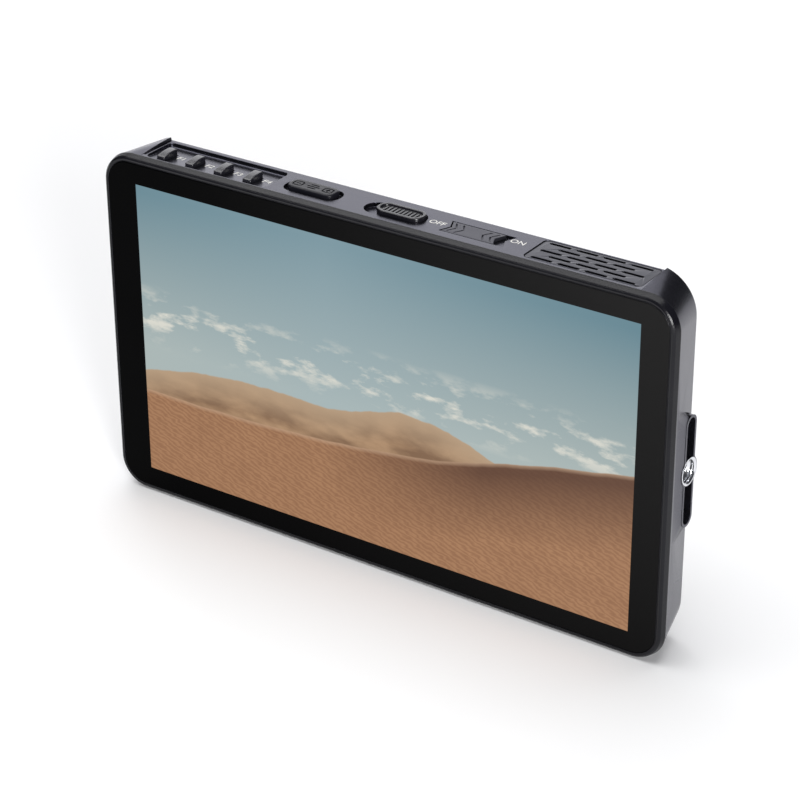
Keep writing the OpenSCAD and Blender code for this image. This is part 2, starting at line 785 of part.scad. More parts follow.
// A bar that rocks on a pin, with a stem under each end
module rocker_button() {
    top_z = strip_z + rocker_rise;
    bevel = 0.5;
    base_z = ceiling_z - 0.1;
    color([0.16, 0.16, 0.18]) difference() {
        union() {
            raised(rocker_x, rocker_y, base_z, top_z - bevel)
                square([neck_l, neck_w], center = true);
            raised(rocker_x, rocker_y, strip_z - well_d + rocker_lift, top_z - bevel)
                round_rect(rocker_l, rocker_w, 1.9);
            hull() {
                raised(rocker_x, rocker_y, top_z - bevel - e, top_z - bevel)
                    round_rect(rocker_l, rocker_w, 1.9);
                raised(rocker_x, rocker_y, top_z - e, top_z)
                    round_rect(rocker_l - 2 * bevel, rocker_w - 2 * bevel, 1.5);
            }
            bar(hub_r, rocker_y - hub_l / 2, rocker_y + hub_l / 2, rocker_x, rocker_z);
            block(rocker_x - hub_r, rocker_x + hub_r, rocker_y - hub_l / 2, rocker_y + hub_l / 2,
                  rocker_z, base_z + e);
            for (s = [-1, 1])
                block(rocker_x + s * rocker_stem_x - 0.8, rocker_x + s * rocker_stem_x + 0.8,
                      rocker_y - neck_w / 2, rocker_y + neck_w / 2, stem_z, base_z + e);
        }
        bar(rocker_pin_r + pin_gap, rocker_y - 3, rocker_y + 3, rocker_x, rocker_z);
    }
}

module rocker_pin() {
    half = hub_l / 2 + ear_gap + ear_t;
    color([0.8, 0.8, 0.82]) bar(rocker_pin_r, rocker_y - half, rocker_y + half, rocker_x, rocker_z);
}

// The stem and retaining plate that both slides share
module slide_stem(x, y, z_top) {
    plate_z1 = ceiling_z - 0.15;
    raised(x, y, stem_z - 0.3, z_top) square([slide_stem_l, slide_stem_w], center = true);
    raised(x, y, plate_z1 - slide_plate_t, plate_z1) square([slide_plate_l, slide_plate_w], center = true);
}

// A raised oval with a rim and a dished face that has cross ribs
module thumb_slide() {
    z0 = strip_z - well_d + slide_rest_gap;
    z1 = strip_z + thumb_rise;
    dish = 0.45;
    rib_w = 0.5;
    color([0.13, 0.13, 0.14]) {
        difference() {
            hull() {
                raised(thumb_rest_x, thumb_y, z0, z1 - 0.3) stadium(thumb_l, thumb_w);
                raised(thumb_rest_x, thumb_y, z1 - e, z1) stadium(thumb_l - 0.5, thumb_w - 0.5);
            }
            raised(thumb_rest_x, thumb_y, z1 - dish, z1 + 1) stadium(thumb_l - 2, thumb_w - 1.8);
        }
        for (i = [-2:2])
            raised(thumb_rest_x + i * 1.5, thumb_y, z1 - dish - e, z1 - dish / 2)
                square([rib_w, thumb_w - 2.2], center = true);
        slide_stem(thumb_rest_x, thumb_y, z0 + e);
    }
}

module switch_body(x, y) {
    block(x - 5, x + 5, y - 0.9, y + 1.9, key_board_z, stem_z - 0.4);
}

module thumb_switch() {
    color([0.7, 0.7, 0.72]) switch_body(thumb_x, thumb_y);
}

module power_switch() {
    color([0.7, 0.7, 0.72]) switch_body(power_x, power_y);
}

// A flush plate with notched ends and two pairs of arrow grooves
module power_slide() {
    z0 = strip_z - power_d + slide_rest_gap;
    w = power_w - 2 * power_gap;
    groove_t = 0.35;
    tip = w / 2 - 0.6;
    color([0.3, 0.31, 0.34]) {
        difference() {
            raised(power_rest_x, power_y, z0, strip_z - 0.02)
                power_outline(power_slide_l, w, power_notch);
            for (s = [-1, 1], i = [0:1])
                raised(power_rest_x + s * (4.1 - i * 1.9), power_y, strip_z - 0.3, strip_z + 1)
                    polygon([[0, 0], [s * power_notch, tip], [s * (power_notch + groove_t), tip],
                             [s * groove_t, 0], [s * (power_notch + groove_t), -tip],
                             [s * power_notch, -tip]]);
        }
        slide_stem(power_rest_x, power_y, z0 + e);
    }
}

// A threaded insert whose mouth is countersunk; it stands a little proud of the pad
module side_insert(s) {
    proud = 0.1;
    mouth = mouth_l + proud + e;
    color([0.85, 0.85, 0.87])
        translate([s * (pad_face_x - insert_l), front_y + mount_y, mount_z]) rotate([0, s * 90, 0])
            difference() {
                cylinder(r = insert_r, h = insert_l + proud, $fn = 64);
                translate([0, 0, -1]) cylinder(r = thread_r, h = insert_l + 2, $fn = 64);
                translate([0, 0, insert_l - mouth_l])
                    cylinder(r1 = thread_r, r2 = thread_r + 0.5, h = mouth, $fn = 64);
            }
}
module side_insert_right() { side_insert(1); }
module side_insert_left() { side_insert(-1); }

module bottom_insert() {
    color([0.85, 0.85, 0.87]) at_depth(foot_y) difference() {
        cylinder(r = foot_insert_r, h = foot_insert_l, $fn = 64);
        translate([0, 0, -1]) cylinder(r = thread_r, h = foot_insert_l + 2, $fn = 64);
    }
}

// Fins that stand on the middle plate below the grille
module heat_sink() {
    z0 = sink_z1 - sink_h;
    base = mid_y + mid_t;
    step = (sink_w - fin_t) / (fin_count - 1);
    color([0.68, 0.69, 0.71]) {
        block(sink_x0, sink_x0 + sink_w, base, base + sink_base_t, z0, sink_z1);
        for (i = [0:fin_count - 1])
            block(sink_x0 + i * step, sink_x0 + i * step + fin_t, base + sink_base_t - e,
                  cavity_y1 - 0.4, z0, sink_z1);
    }
}

module main_board() {
    color([0.08, 0.3, 0.18]) difference() {
        plate(board_w, board_h, 1.5, board_y, board_rear_y);
        for (sx = [-1, 1], sz = [-1, 1])
            bar(1.1, board_y - 1, board_rear_y + 1, sx * post_spot_x, mid_z + sz * post_spot_z);
        block(-latch_room, latch_room, board_y - 1, board_rear_y + 1, latch_z0 - 1.2, mid_z + board_h);
    }
}

module board_chips() {
    color([0.12, 0.12, 0.13]) {
        block(-board_w / 2 + 18, -board_w / 2 + 18 + chip_w, board_y - chip_t, board_y,
              mid_z - chip_w / 2, mid_z + chip_w / 2);
        for (z = [-small_chip_w - 2, 2])
            block(board_w / 2 - 26 - small_chip_w, board_w / 2 - 26, board_y - small_chip_t, board_y,
                  mid_z + z, mid_z + z + small_chip_w);
    }
}

// Stands that carry the main board on the middle plate
module board_posts() {
    color([0.8, 0.65, 0.35]) for (sx = [-1, 1], sz = [-1, 1])
        bar(stand_r, mid_y + mid_t, board_y, sx * post_spot_x, mid_z + sz * post_spot_z);
}

// A flat ribbon from the display's lower edge, under the plate and up to the main board
module display_ribbon() {
    t = ribbon_t;
    z0 = mid_z - cell_h / 2 - t;
    board_z = mid_z - board_h / 2 + 3;
    color([0.75, 0.45, 0.15]) carried(ribbon_x0, ribbon_x0 + ribbon_w) polygon([
        [tray_y, z0], [ribbon_y + t, z0], [ribbon_y + t, board_z - t], [board_y, board_z - t],
        [board_y, board_z], [ribbon_y, board_z], [ribbon_y, z0 + t], [tray_y, z0 + t]]);
}

// A block on the main board with its face in the raised back's side s, from depth d0 to d1
module socket_block(s, l, x0, x1, d0, d1) {
    block(min(s * x0, s * x1), max(s * x0, s * x1), board_rear_y + d0, board_rear_y + d1, -l / 2, l / 2);
}

// A video socket: a folded shell with a tongue, its mouth towards side s
module video_port(s, rise) {
    deep = 12;
    w = 0.4;
    color([0.8, 0.8, 0.82]) translate([0, 0, mid_z + rise]) {
        difference() {
            socket_block(s, video_l, socket_x - deep, socket_x, 0, video_h);
            socket_block(s, video_l - 2 * w, socket_x - deep + 1, socket_x + 1, w, video_h - w);
        }
        socket_block(s, video_l - 4, socket_x - deep, socket_x - 1, 2.4, 3.6);
    }
}
module video_input_port() { video_port(-1, video_in_rise); }
module video_output_port() { video_port(-1, video_out_rise); }

module usb_port() {
    w = 0.3;
    color([0.8, 0.8, 0.82]) translate([0, 0, mid_z + usb_rise]) difference() {
        socket_block(1, usb_l, socket_x - 8, socket_x, 0, usb_h);
        socket_block(1, usb_l - 2 * w, socket_x - 6.5, socket_x + 1, w, usb_h - w);
    }
}

module headphone_jack() {
    deep = 11;
    color([0.1, 0.1, 0.11]) translate([0, 0, mid_z + jack_rise]) difference() {
        socket_block(1, jack_l, socket_x - deep - 1, socket_x, 0, jack_h);
        at_depth(board_rear_y + jack_h / 2) translate([socket_x - deep, 0, 0]) rotate([0, 90, 0])
            cylinder(r = jack_r, h = deep + 1, $fn = 48);
    }
}

// The opening for a socket of length l and height h in side s of the raised back
module socket_opening(s, rise, l, h) {
    translate([0, 0, mid_z + rise])
        socket_block(s, l + 2 * socket_gap, back_w / 2 - 6, back_w / 2 + 1, -socket_gap, h + socket_gap);
}

module back_form() {
    drawn_plate(back_w, back_h, back_r, back_w - 2 * back_draft, back_h - 2 * back_draft,
                back_r - back_draft / 2, back_front_y, total_d);
}

module back_cavity() {
    w = back_w - 2 * back_wall;
    h = back_h - 2 * back_wall;
    drawn_plate(w, h, back_r - back_wall, w - 2 * back_draft, h - 2 * back_draft,
                back_r - back_wall - back_draft / 2, back_front_y - e, total_d - back_wall);
}

module latch_hole(y0, y1) {
    block(-latch_w / 2 - latch_gap, latch_w / 2 + latch_gap, y0, y1, latch_z0 - latch_gap,
          latch_z1 + latch_gap);
}

// The raised back: a shell with a battery recess, screw posts and cooling slots
module back_cover() {
    color([0.12, 0.12, 0.13]) difference() {
        union() {
            difference() {
                back_form();
                back_cavity();
            }
            intersection() {
                union() {
                    block(-bay_w / 2 - back_wall, bay_w / 2 + back_wall, latch_back_y, total_d,
                          bay_z0 - back_wall, mid_z + back_h);
                    for (sx = [-1, 1], sz = [-1, 1])
                        bar(post_r, back_front_y, total_d, sx * post_x, mid_z + sz * post_z);
                }
                back_form();
            }
        }
        block(-bay_w / 2, bay_w / 2, bay_floor_y, total_d + 1, bay_z0, bay_z0 + bay_h);
        for (sx = [-1, 1], sz = [-1, 1]) {
            bar(screw_r + 0.2, back_front_y - 1, total_d + 1, sx * post_x, mid_z + sz * post_z);
            bar(screw_head_r + 0.2, head_y, total_d + 1, sx * post_x, mid_z + sz * post_z);
        }
        for (s = [-1, 1], i = [0:cool_count - 1])
            at_depth(total_d - 2 * back_wall)
                translate([s * cool_x, 0, mid_z + (i - (cool_count - 1) / 2) * cool_pitch])
                    upright(2 * back_wall + 1) stadium(cool_l, cool_w);
        socket_opening(-1, video_in_rise, video_l, video_h);
        socket_opening(-1, video_out_rise, video_l, video_h);
        socket_opening(1, usb_rise, usb_l, usb_h);
        socket_opening(1, jack_rise, jack_l, jack_h);
        latch_hole(latch_back_y - 1, bay_floor_y + 1);
    }
}

// The plate that a battery slides onto: a low seat between two broken rails with inward lips
module battery_plate() {
    x1 = bay_w / 2 - plate_gap;
    z0 = bay_z0 + plate_gap;
    z1 = bay_z0 + bay_h - plate_gap;
    y1 = bay_floor_y + plate_t;
    seat_x = x1 - rail_w - rail_lip - seat_gap / 2;
    color([0.1, 0.1, 0.11]) difference() {
        union() {
            block(-x1, x1, bay_floor_y, y1, z0, z1);
            block(-seat_x, seat_x, y1 - e, y1 + seat_t, z0 + contact_block_h + seat_gap, latch_z0 - seat_gap);
            for (s = [-1, 1], part = [[z0 + 4, z0 + 17], [z1 - 26, z1 - 13]]) {
                block(min(s * (x1 - rail_w), s * x1), max(s * (x1 - rail_w), s * x1),
                      y1 - e, y1 + rail_h + lip_t, part[0], part[1]);
                block(min(s * (x1 - rail_w - rail_lip), s * x1), max(s * (x1 - rail_w - rail_lip), s * x1),
                      y1 + rail_h, y1 + rail_h + lip_t, part[0], part[1]);
            }
        }
        latch_hole(bay_floor_y - 1, total_d);
    }
}

module contact_block() {
    z0 = bay_z0 + plate_gap;
    y0 = bay_floor_y + plate_t;
    half_slot = 0.5;
    color([0.08, 0.08, 0.09]) difference() {
        block(-contact_block_w / 2, contact_block_w / 2, y0, y0 + contact_block_t, z0, z0 + contact_block_h);
        for (i = [-1:1])
            block(i * contact_pitch - half_slot, i * contact_pitch + half_slot, contact_y, total_d,
                  z0 + 2, z0 + contact_block_h + 1);
    }
}

module contact_blades() {
    z0 = bay_z0 + plate_gap;
    half_t = 0.3;
    color([0.9, 0.75, 0.35]) for (i = [-1:1])
        block(i * contact_pitch - half_t, i * contact_pitch + half_t, contact_y, contact_y + 1.6,
              z0 + 2, z0 + contact_block_h - 0.3);
}

// The latch stands proud of the battery plate and is pressed in to let a battery go
module battery_latch() {
    foot_y1 = latch_back_y - 0.1;
    y1 = bay_floor_y + plate_t + latch_travel;
    color([0.15, 0.15, 0.16]) {
        carried(-latch_w / 2, latch_w / 2) polygon([
            [foot_y1 - e, latch_z0], [y1 - 1.2, latch_z0], [y1, latch_z0 + 1.6], [y1, latch_z1],
            [foot_y1 - e, latch_z1]]);
        block(-latch_w / 2 - foot_lap, latch_w / 2 + foot_lap, foot_y1 - foot_t, foot_y1,
              latch_z0 - 0.5, latch_z1 + 0.5);
    }
}

// A bracket under the battery recess: two cheeks and a bridge that backs the latch's spring
module latch_guide() {
    inner = latch_w / 2 + foot_lap + 0.3;
    cheek = 1;
    bridge_y1 = latch_back_y - 0.1 - foot_t - latch_travel - 0.8;
    color([0.5, 0.5, 0.52]) {
        for (x = [-inner - cheek, inner])
            block(x, x + cheek, bridge_y1 - e, latch_back_y, latch_z0, latch_z1);
        block(-inner - cheek, inner + cheek, bridge_y1 - cheek, bridge_y1, latch_z0, latch_z1);
    }
}

// Countersunk screws with a cross recess; the head's face points to the rear
module screw(x, z, y_tip, y_head) {
    difference() {
        union() {
            bar(screw_r, y_tip, y_head + e, x, z);
            bar(screw_head_r, y_head, y_head + screw_head_t, x, z);
        }
        for (a = [0, 90])
            at_depth(y_head + screw_head_t - 0.6) translate([x, 0, z]) rotate([0, a, 0])
                translate([-1.2, 0, -0.25]) cube([2.4, 2, 0.5]);
    }
}

module back_screws() {
    color([0.25, 0.25, 0.27]) for (sx = [-1, 1], sz = [-1, 1])
        screw(sx * post_x, mid_z + sz * post_z, housing_d - 3.8, head_y);
}

module case_screws() {
    color([0.25, 0.25, 0.27]) for (sx = [-1, 1], sz = [-1, 1])
        screw(sx * case_screw_x, mid_z + sz * case_screw_z, mid_y + 2, case_head_y);
}

front_frame();
cover_glass();
glass_tape();
clear_bond();
display_cell();
backlight_tray();
light_guide();
led_strip();
mid_plate();
rear_housing();
vent_grille();
key_board();
key_switches();
function_key_1();
function_key_2();
function_key_3();
function_key_4();
rocker_button();
rocker_pin();
thumb_slide();
thumb_switch();
power_slide();
power_switch();
side_insert_right();
side_insert_left();
bottom_insert();
heat_sink();
main_board();
board_chips();
board_posts();
display_ribbon();
video_input_port();
video_output_port();
usb_port();
headphone_jack();
back_cover();
battery_plate();
contact_block();
contact_blades();
battery_latch();
latch_guide();
back_screws();
case_screws();
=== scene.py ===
"""Looks for a slim on-camera field monitor: its skins, finishes, labels and studio.

All shapes are worked out in millimetres. "Depth" runs from the glass to the back,
"height" up from the surface that the monitor stands on.
"""

import logging
import math
from collections.abc import Callable, Iterable, Sequence
from dataclasses import dataclass, field
from enum import Enum

import bmesh
import bpy
import numpy as np
from mathutils import Matrix, Vector
from mathutils.geometry import tessellate_polygon


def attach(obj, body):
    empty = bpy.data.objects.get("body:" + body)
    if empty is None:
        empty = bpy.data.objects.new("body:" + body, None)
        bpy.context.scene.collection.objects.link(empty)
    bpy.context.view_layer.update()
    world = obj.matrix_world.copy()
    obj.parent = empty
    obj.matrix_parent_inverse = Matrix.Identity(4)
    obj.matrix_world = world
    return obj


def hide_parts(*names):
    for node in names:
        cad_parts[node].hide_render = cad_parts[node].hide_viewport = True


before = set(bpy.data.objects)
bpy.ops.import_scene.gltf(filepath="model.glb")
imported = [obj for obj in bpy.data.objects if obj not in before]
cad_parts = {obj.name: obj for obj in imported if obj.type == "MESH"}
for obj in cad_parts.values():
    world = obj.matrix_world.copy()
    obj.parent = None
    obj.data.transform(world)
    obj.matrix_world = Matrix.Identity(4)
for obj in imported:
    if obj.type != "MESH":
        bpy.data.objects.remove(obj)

MM = 0.001
TO_MM = 1000
# The glass lies at depth 0, which is this y in the shared frame.
FACE_Y = -11.25
# Heights: the body's middle, the key strip, and the cavity's ceiling and floor.
MID_Z = 43.95
STRIP_Z = 87.8
CEILING_Z = 85.35
FLOOR_Z = 2.45
# The depth where the housing ends and the raised back begins.
REAR_Y = 13.5
# Where the function keys are, across and in depth.
KEY_X = tuple(-60.6 + 8.15 * i for i in range(4))
KEY_Y = 5.8
# The foot of each slide's stem, and the heights of the plate on it.
STEM_FOOT_Z = 83.2
KEEPER_Z = (84.6, 85.2)
# How far the screws are from the back's middle, across and up.
CASE_SCREWS_AT = (65.5, 32.0)
BACK_SCREWS_AT = (50.4, 27.4)
# Points of a mesh closer than this, in metres, are one.
JOIN = 2e-6
BODY = "monitor_body"
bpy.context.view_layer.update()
log = logging.getLogger("monitor")

Level = float | Callable[[np.ndarray], np.ndarray]
Profile = list[tuple[float, float]]
Place = tuple[float, float]
Point = tuple[float, float, float]
Color = tuple[float, float, float]


def level_at(level: Level, loop: np.ndarray) -> np.ndarray:
    """The level at each point of an outline, whether it is one number or a function."""
    return level(loop) if callable(level) else np.full(len(loop), float(level))


class Facing(Enum):
    """Which way an outline's height runs: up, to the back, or out of a side."""

    TOP = "top"
    BACK = "back"
    RIGHT = "right"
    LEFT = "left"

    def place(self, loop: np.ndarray, level: Level) -> np.ndarray:
        """Puts a flat outline into the model.

        TOP takes (x, depth) and a height, BACK takes (x, height) and a depth, RIGHT and
        LEFT take (depth, height) and a distance from the middle.

        Args:
            loop: The outline, one row a point, in mm.
            level: The third measure, or a function that works it out from the outline.

        Returns:
            The points in metres, one row each.
        """
        u, v = loop[:, 0], loop[:, 1]
        h = level_at(level, loop)
        if self is Facing.TOP:
            columns = (u, v + FACE_Y, h)
        elif self is Facing.BACK:
            columns = (u, h + FACE_Y, v)
        else:
            columns = (h if self is Facing.RIGHT else -h, u + FACE_Y, v)
        return np.stack(columns, axis=1) * MM


@dataclass(frozen=True)
class Oblong:
    """A rectangle with round corners; a circle where the radius is half the sides."""

    w: float
    h: float
    r: float
    cx: float = 0.0
    cy: float = 0.0
    steps: int = 8

    def loop(self, grow: float = 0.0) -> np.ndarray:
        """Four quarter circles about the corner centres, joined by straight sides.

        Args:
            grow: How far the outline moves outwards, in mm.

        Returns:
            The points, counterclockwise from the right-hand side.
        """
        r = max(self.r + grow, 0.01)
        half_w = max(self.w / 2 + grow - r, 0.0)
        half_h = max(self.h / 2 + grow - r, 0.0)
        turn = np.linspace(0, np.pi / 2, self.steps + 1) + np.arange(4)[:, None] * np.pi / 2
        side_u = np.array([1, -1, -1, 1])[:, None]
        side_v = np.array([1, 1, -1, -1])[:, None]
        u = self.cx + side_u * half_w + r * np.cos(turn)
        v = self.cy + side_v * half_h + r * np.sin(turn)
        return np.stack([u.ravel(), v.ravel()], axis=1)


@dataclass(frozen=True)
class Corners:
    """A straight-sided outline, given by its corners counterclockwise."""

    points: tuple[Place, ...]

    def loop(self, grow: float = 0.0) -> np.ndarray:
        """Moves each corner along its mitre.

        The mitre is the sum of the two sides' normals over one plus their dot product.

        Args:
            grow: How far every side moves outwards, in mm.

        Returns:
            The corners.
        """
        p = np.array(self.points, float)
        side = np.roll(p, -1, axis=0) - p
        normal = np.stack([side[:, 1], -side[:, 0]], axis=1)
        normal /= np.linalg.norm(normal, axis=1, keepdims=True)
        before = np.roll(normal, 1, axis=0)
        share = 1 + np.sum(normal * before, axis=1, keepdims=True)
        return p + grow * (normal + before) / share


@dataclass(frozen=True)
class BossedSlot:
    """A slot along the height with a round boss at its middle."""

    length: float
    w: float
    boss_r: float
    cx: float
    cy: float

    def loop(self, grow: float = 0.0) -> np.ndarray:
        """The wider of slot and circle along the straight sides, then half circles at the ends.

        Args:
            grow: How far the outline moves outwards, in mm.

        Returns:
            The points, counterclockwise from the right-hand side's foot.
        """
        half = (self.length - self.w) / 2
        w, boss = self.w / 2 + grow, self.boss_r + grow
        fine = boss * np.sin(np.linspace(-np.pi / 2, np.pi / 2, 25))
        along = np.concatenate([[-half], fine, [half]])
        out = np.maximum(w, np.sqrt(np.maximum(boss**2 - along**2, 0)))
        turn = np.linspace(0, np.pi, 15)[1:-1]
        u = np.concatenate([out, w * np.cos(turn), -out[::-1], -w * np.cos(turn)])
        v = np.concatenate([along, half + w * np.sin(turn), along[::-1], -half - w * np.sin(turn)])
        return np.stack([u + self.cx, v + self.cy], axis=1)


Outline = Oblong | Corners | BossedSlot
Step = tuple[Outline, float, Level]


def circle(r: float, cx: float = 0.0, cy: float = 0.0, steps: int = 12) -> Oblong:
    """A round outline of radius r."""
    return Oblong(2 * r, 2 * r, r, cx, cy, steps)


def plus(a: float, b: float, x: float, y: float) -> Corners:
    """A plus sign.

    Args:
        a: How far its arms reach out.
        b: Half their width.
        x: Its middle's place across.
        y: Its middle's depth or height.

    Returns:
        Its outline.
    """
    around = ((a, -b), (a, b), (b, b), (b, a), (-b, a), (-b, b), (-a, b), (-a, -b), (-b, -b), (-b, -a),
              (b, -a), (b, -b))
    return Corners(tuple((x + p, y + q) for p, q in around))


def notched_bar(length: float, w: float, x: float, y: float = 7.4, notch: float = 1.2) -> Corners:
    """A bar whose two ends have a pointed notch.

    Args:
        length: Its length.
        w: Its width.
        x: Its middle's place across.
        y: Its middle's depth.
        notch: How deep the notches are.

    Returns:
        Its outline.
    """
    a, b = length / 2, w / 2
    around = ((a, -b), (a - notch, 0), (a, b), (-a, b), (-a + notch, 0), (-a, -b))
    return Corners(tuple((x + p, y + q) for p, q in around))


def four_places(half_x: float, half_z: float) -> tuple[Place, ...]:
    """The corners of a rectangle about the middle of the back."""
    return tuple((x, z) for x in (-half_x, half_x) for z in (MID_Z - half_z, MID_Z + half_z))


def divided(loop: np.ndarray, parts: int) -> np.ndarray:
    """An outline with each of its sides cut into equal parts."""
    step = np.arange(parts)[None, :, None] / parts
    return (loop[:, None] * (1 - step) + np.roll(loop, -1, 0)[:, None] * step).reshape(-1, 2)


def quarter(radius: float, count: int = 4) -> np.ndarray:
    """A quarter circle as (in, along) pairs from (radius, 0) to (0, radius)."""
    t = np.linspace(0, np.pi / 2, count + 1)
    return np.stack([radius * (1 - np.sin(t)), radius * (1 - np.cos(t))], axis=1)


def sunk_profile(depth: float, edge: float, foot: float) -> Profile:
    """A recess's wall: a rounded edge, a straight wall and a hollow foot.

    Args:
        depth: How deep the recess is.
        edge: Radius of its edge.
        foot: Radius at its foot.

    Returns:
        Pairs of outward growth and drop.
    """
    lip = [(float(a), float(b)) for a, b in quarter(edge)]
    return lip + [(-float(b), depth - float(a)) for a, b in quarter(foot)]


def rim(rings: np.ndarray, segment: int) -> np.ndarray:
    """The rim of an open flat: along one side of the segment and back along the other."""
    return np.concatenate([rings[:, segment], rings[::-1, (segment + 1) % rings.shape[1]]])


def into_scene(name: str, data: bpy.types.ID) -> bpy.types.Object:
    """Links a new object to the scene.

    Args:
        name: Its name.
        data: Its mesh, light, camera or curve.

    Returns:
        The object, at the origin.
    """
    item = bpy.data.objects.new(name, data)
    bpy.context.scene.collection.objects.link(item)
    return item


class Skin:
    """Collects grids of points and flat sheets, and makes one closed mesh of them."""

    CREASE_DEG = 32.0
    FLAT_WEIGHT = 80

    def __init__(self) -> None:
        """Starts empty."""
        self.points: list[np.ndarray] = []
        self.faces: list[list[int]] = []
        self.count = 0

    def _add(self, points: np.ndarray) -> int:
        """Takes points in.

        Args:
            points: The points, one row each.

        Returns:
            The number of the first of them.
        """
        start = self.count
        self.points.append(points)
        self.count += len(points)
        return start

    def rings(self, rings: Sequence[np.ndarray], left_open: Sequence[int] = (),
              steps: slice = slice(None), closed: bool = False) -> None:
        """Joins each ring to the next with quads: a surface over (ring, place round it).

        Args:
            rings: Rings of the same number of points.
            left_open: Segments round the ring that get no face.
            steps: The steps from ring to ring where those segments are open.
            closed: Whether the last ring joins the first.
        """
        n = len(rings[0])
        start = self._add(np.concatenate(rings))
        index = np.arange(len(rings) * n).reshape(len(rings), n) + start
        low, high = (index, np.roll(index, -1, axis=0)) if closed else (index[:-1], index[1:])
        quads = np.stack([low, np.roll(low, -1, 1), np.roll(high, -1, 1), high], axis=2)
        keep = np.ones(quads.shape[:2], bool)
        if len(left_open):
            keep[steps, list(left_open)] = False
        self.faces += quads[keep].tolist()

    def cap(self, ring: np.ndarray) -> None:
        """Closes a ring with one face."""
        start = self._add(ring)
        self.faces.append(list(range(start, start + len(ring))))

    def sheet(self, outer: np.ndarray, *holes: np.ndarray) -> None:
        """A sheet inside an outline, less its holes, cut into triangles.

        Args:
            outer: The outline's points.
            holes: The points of each hole's outline.
        """
        loops = [outer, *holes]
        start = self._add(np.concatenate(loops))
        cut = tessellate_polygon([(loop * TO_MM).tolist() for loop in loops])
        self.faces += (np.array(cut) + start).tolist()

    def stepped(self, facing: Facing, steps: Iterable[Step]) -> tuple[np.ndarray, np.ndarray]:
        """A wall through a row of outlines, each grown by some and put at its level.

        Args:
            facing: The way the outlines' height runs.
            steps: Outline, growth and level, one after the other.

        Returns:
            The first and the last ring.
        """
        rings = [facing.place(outline.loop(grow), level) for outline, grow, level in steps]
        self.rings(rings)
        return rings[0], rings[-1]

    def sweep(self, facing: Facing, outline: Outline, profile: Profile) -> None:
        """An outline carried along a profile of (growth, level), with both ends shut.

        Args:
            facing: The way the outline's height runs.
            outline: The outline.
            profile: Pairs of growth and level.
        """
        for ring in self.stepped(facing, [(outline, grow, level) for grow, level in profile]):
            self.sheet(ring)

    def block(self, outline: Outline, low: float, high: float) -> None:
        """An upright bar from one height to another."""
        self.sweep(Facing.TOP, outline, [(0, low), (0, high)])

    def sink(self, facing: Facing, outline: Outline, level: Level, profile: Profile,
             share: Callable[[np.ndarray], np.ndarray] | None = None) -> tuple[np.ndarray, np.ndarray]:
        """A recess's wall, from its opening to the edge of its floor: the surface less the drop's share.

        Args:
            facing: The way the surface faces.
            outline: The recess's outline.
            level: The surface's level.
            profile: Pairs of growth and drop.
            share: The part of the full drop at each point, for a sloping floor.

        Returns:
            The opening's points and the floor's points.
        """
        def after(drop: float) -> Callable[[np.ndarray], np.ndarray]:
            """The level's function after a drop."""
            return lambda loop: level_at(level, loop) - drop * (share(loop) if share else 1.0)
        return self.stepped(facing, [(outline, grow, after(drop)) for grow, drop in profile])

    def build(self, name: str) -> bpy.types.Object:
        """Makes the mesh: joins equal points, turns faces outwards and keeps hard edges.

        Args:
            name: The piece's name.

        Returns:
            The piece, whose large flat faces keep their own shading.
        """
        mesh = bpy.data.meshes.new(name)
        mesh.from_pydata(np.concatenate(self.points), [], self.faces)
        work = bmesh.new()
        work.from_mesh(mesh)
        bmesh.ops.remove_doubles(work, verts=work.verts, dist=JOIN)
        bmesh.ops.dissolve_degenerate(work, edges=work.edges, dist=1e-7)
        bmesh.ops.recalc_face_normals(work, faces=work.faces)
        work.to_mesh(mesh)
        work.free()
        mesh.shade_smooth()
        mesh.set_sharp_from_angle(angle=math.radians(self.CREASE_DEG))
        piece = into_scene(name, mesh)
        even = piece.modifiers.new("even_shading", "WEIGHTED_NORMAL")
        even.keep_sharp = True
        even.weight = self.FLAT_WEIGHT
        return piece


Value = float | tuple | bpy.types.NodeSocket


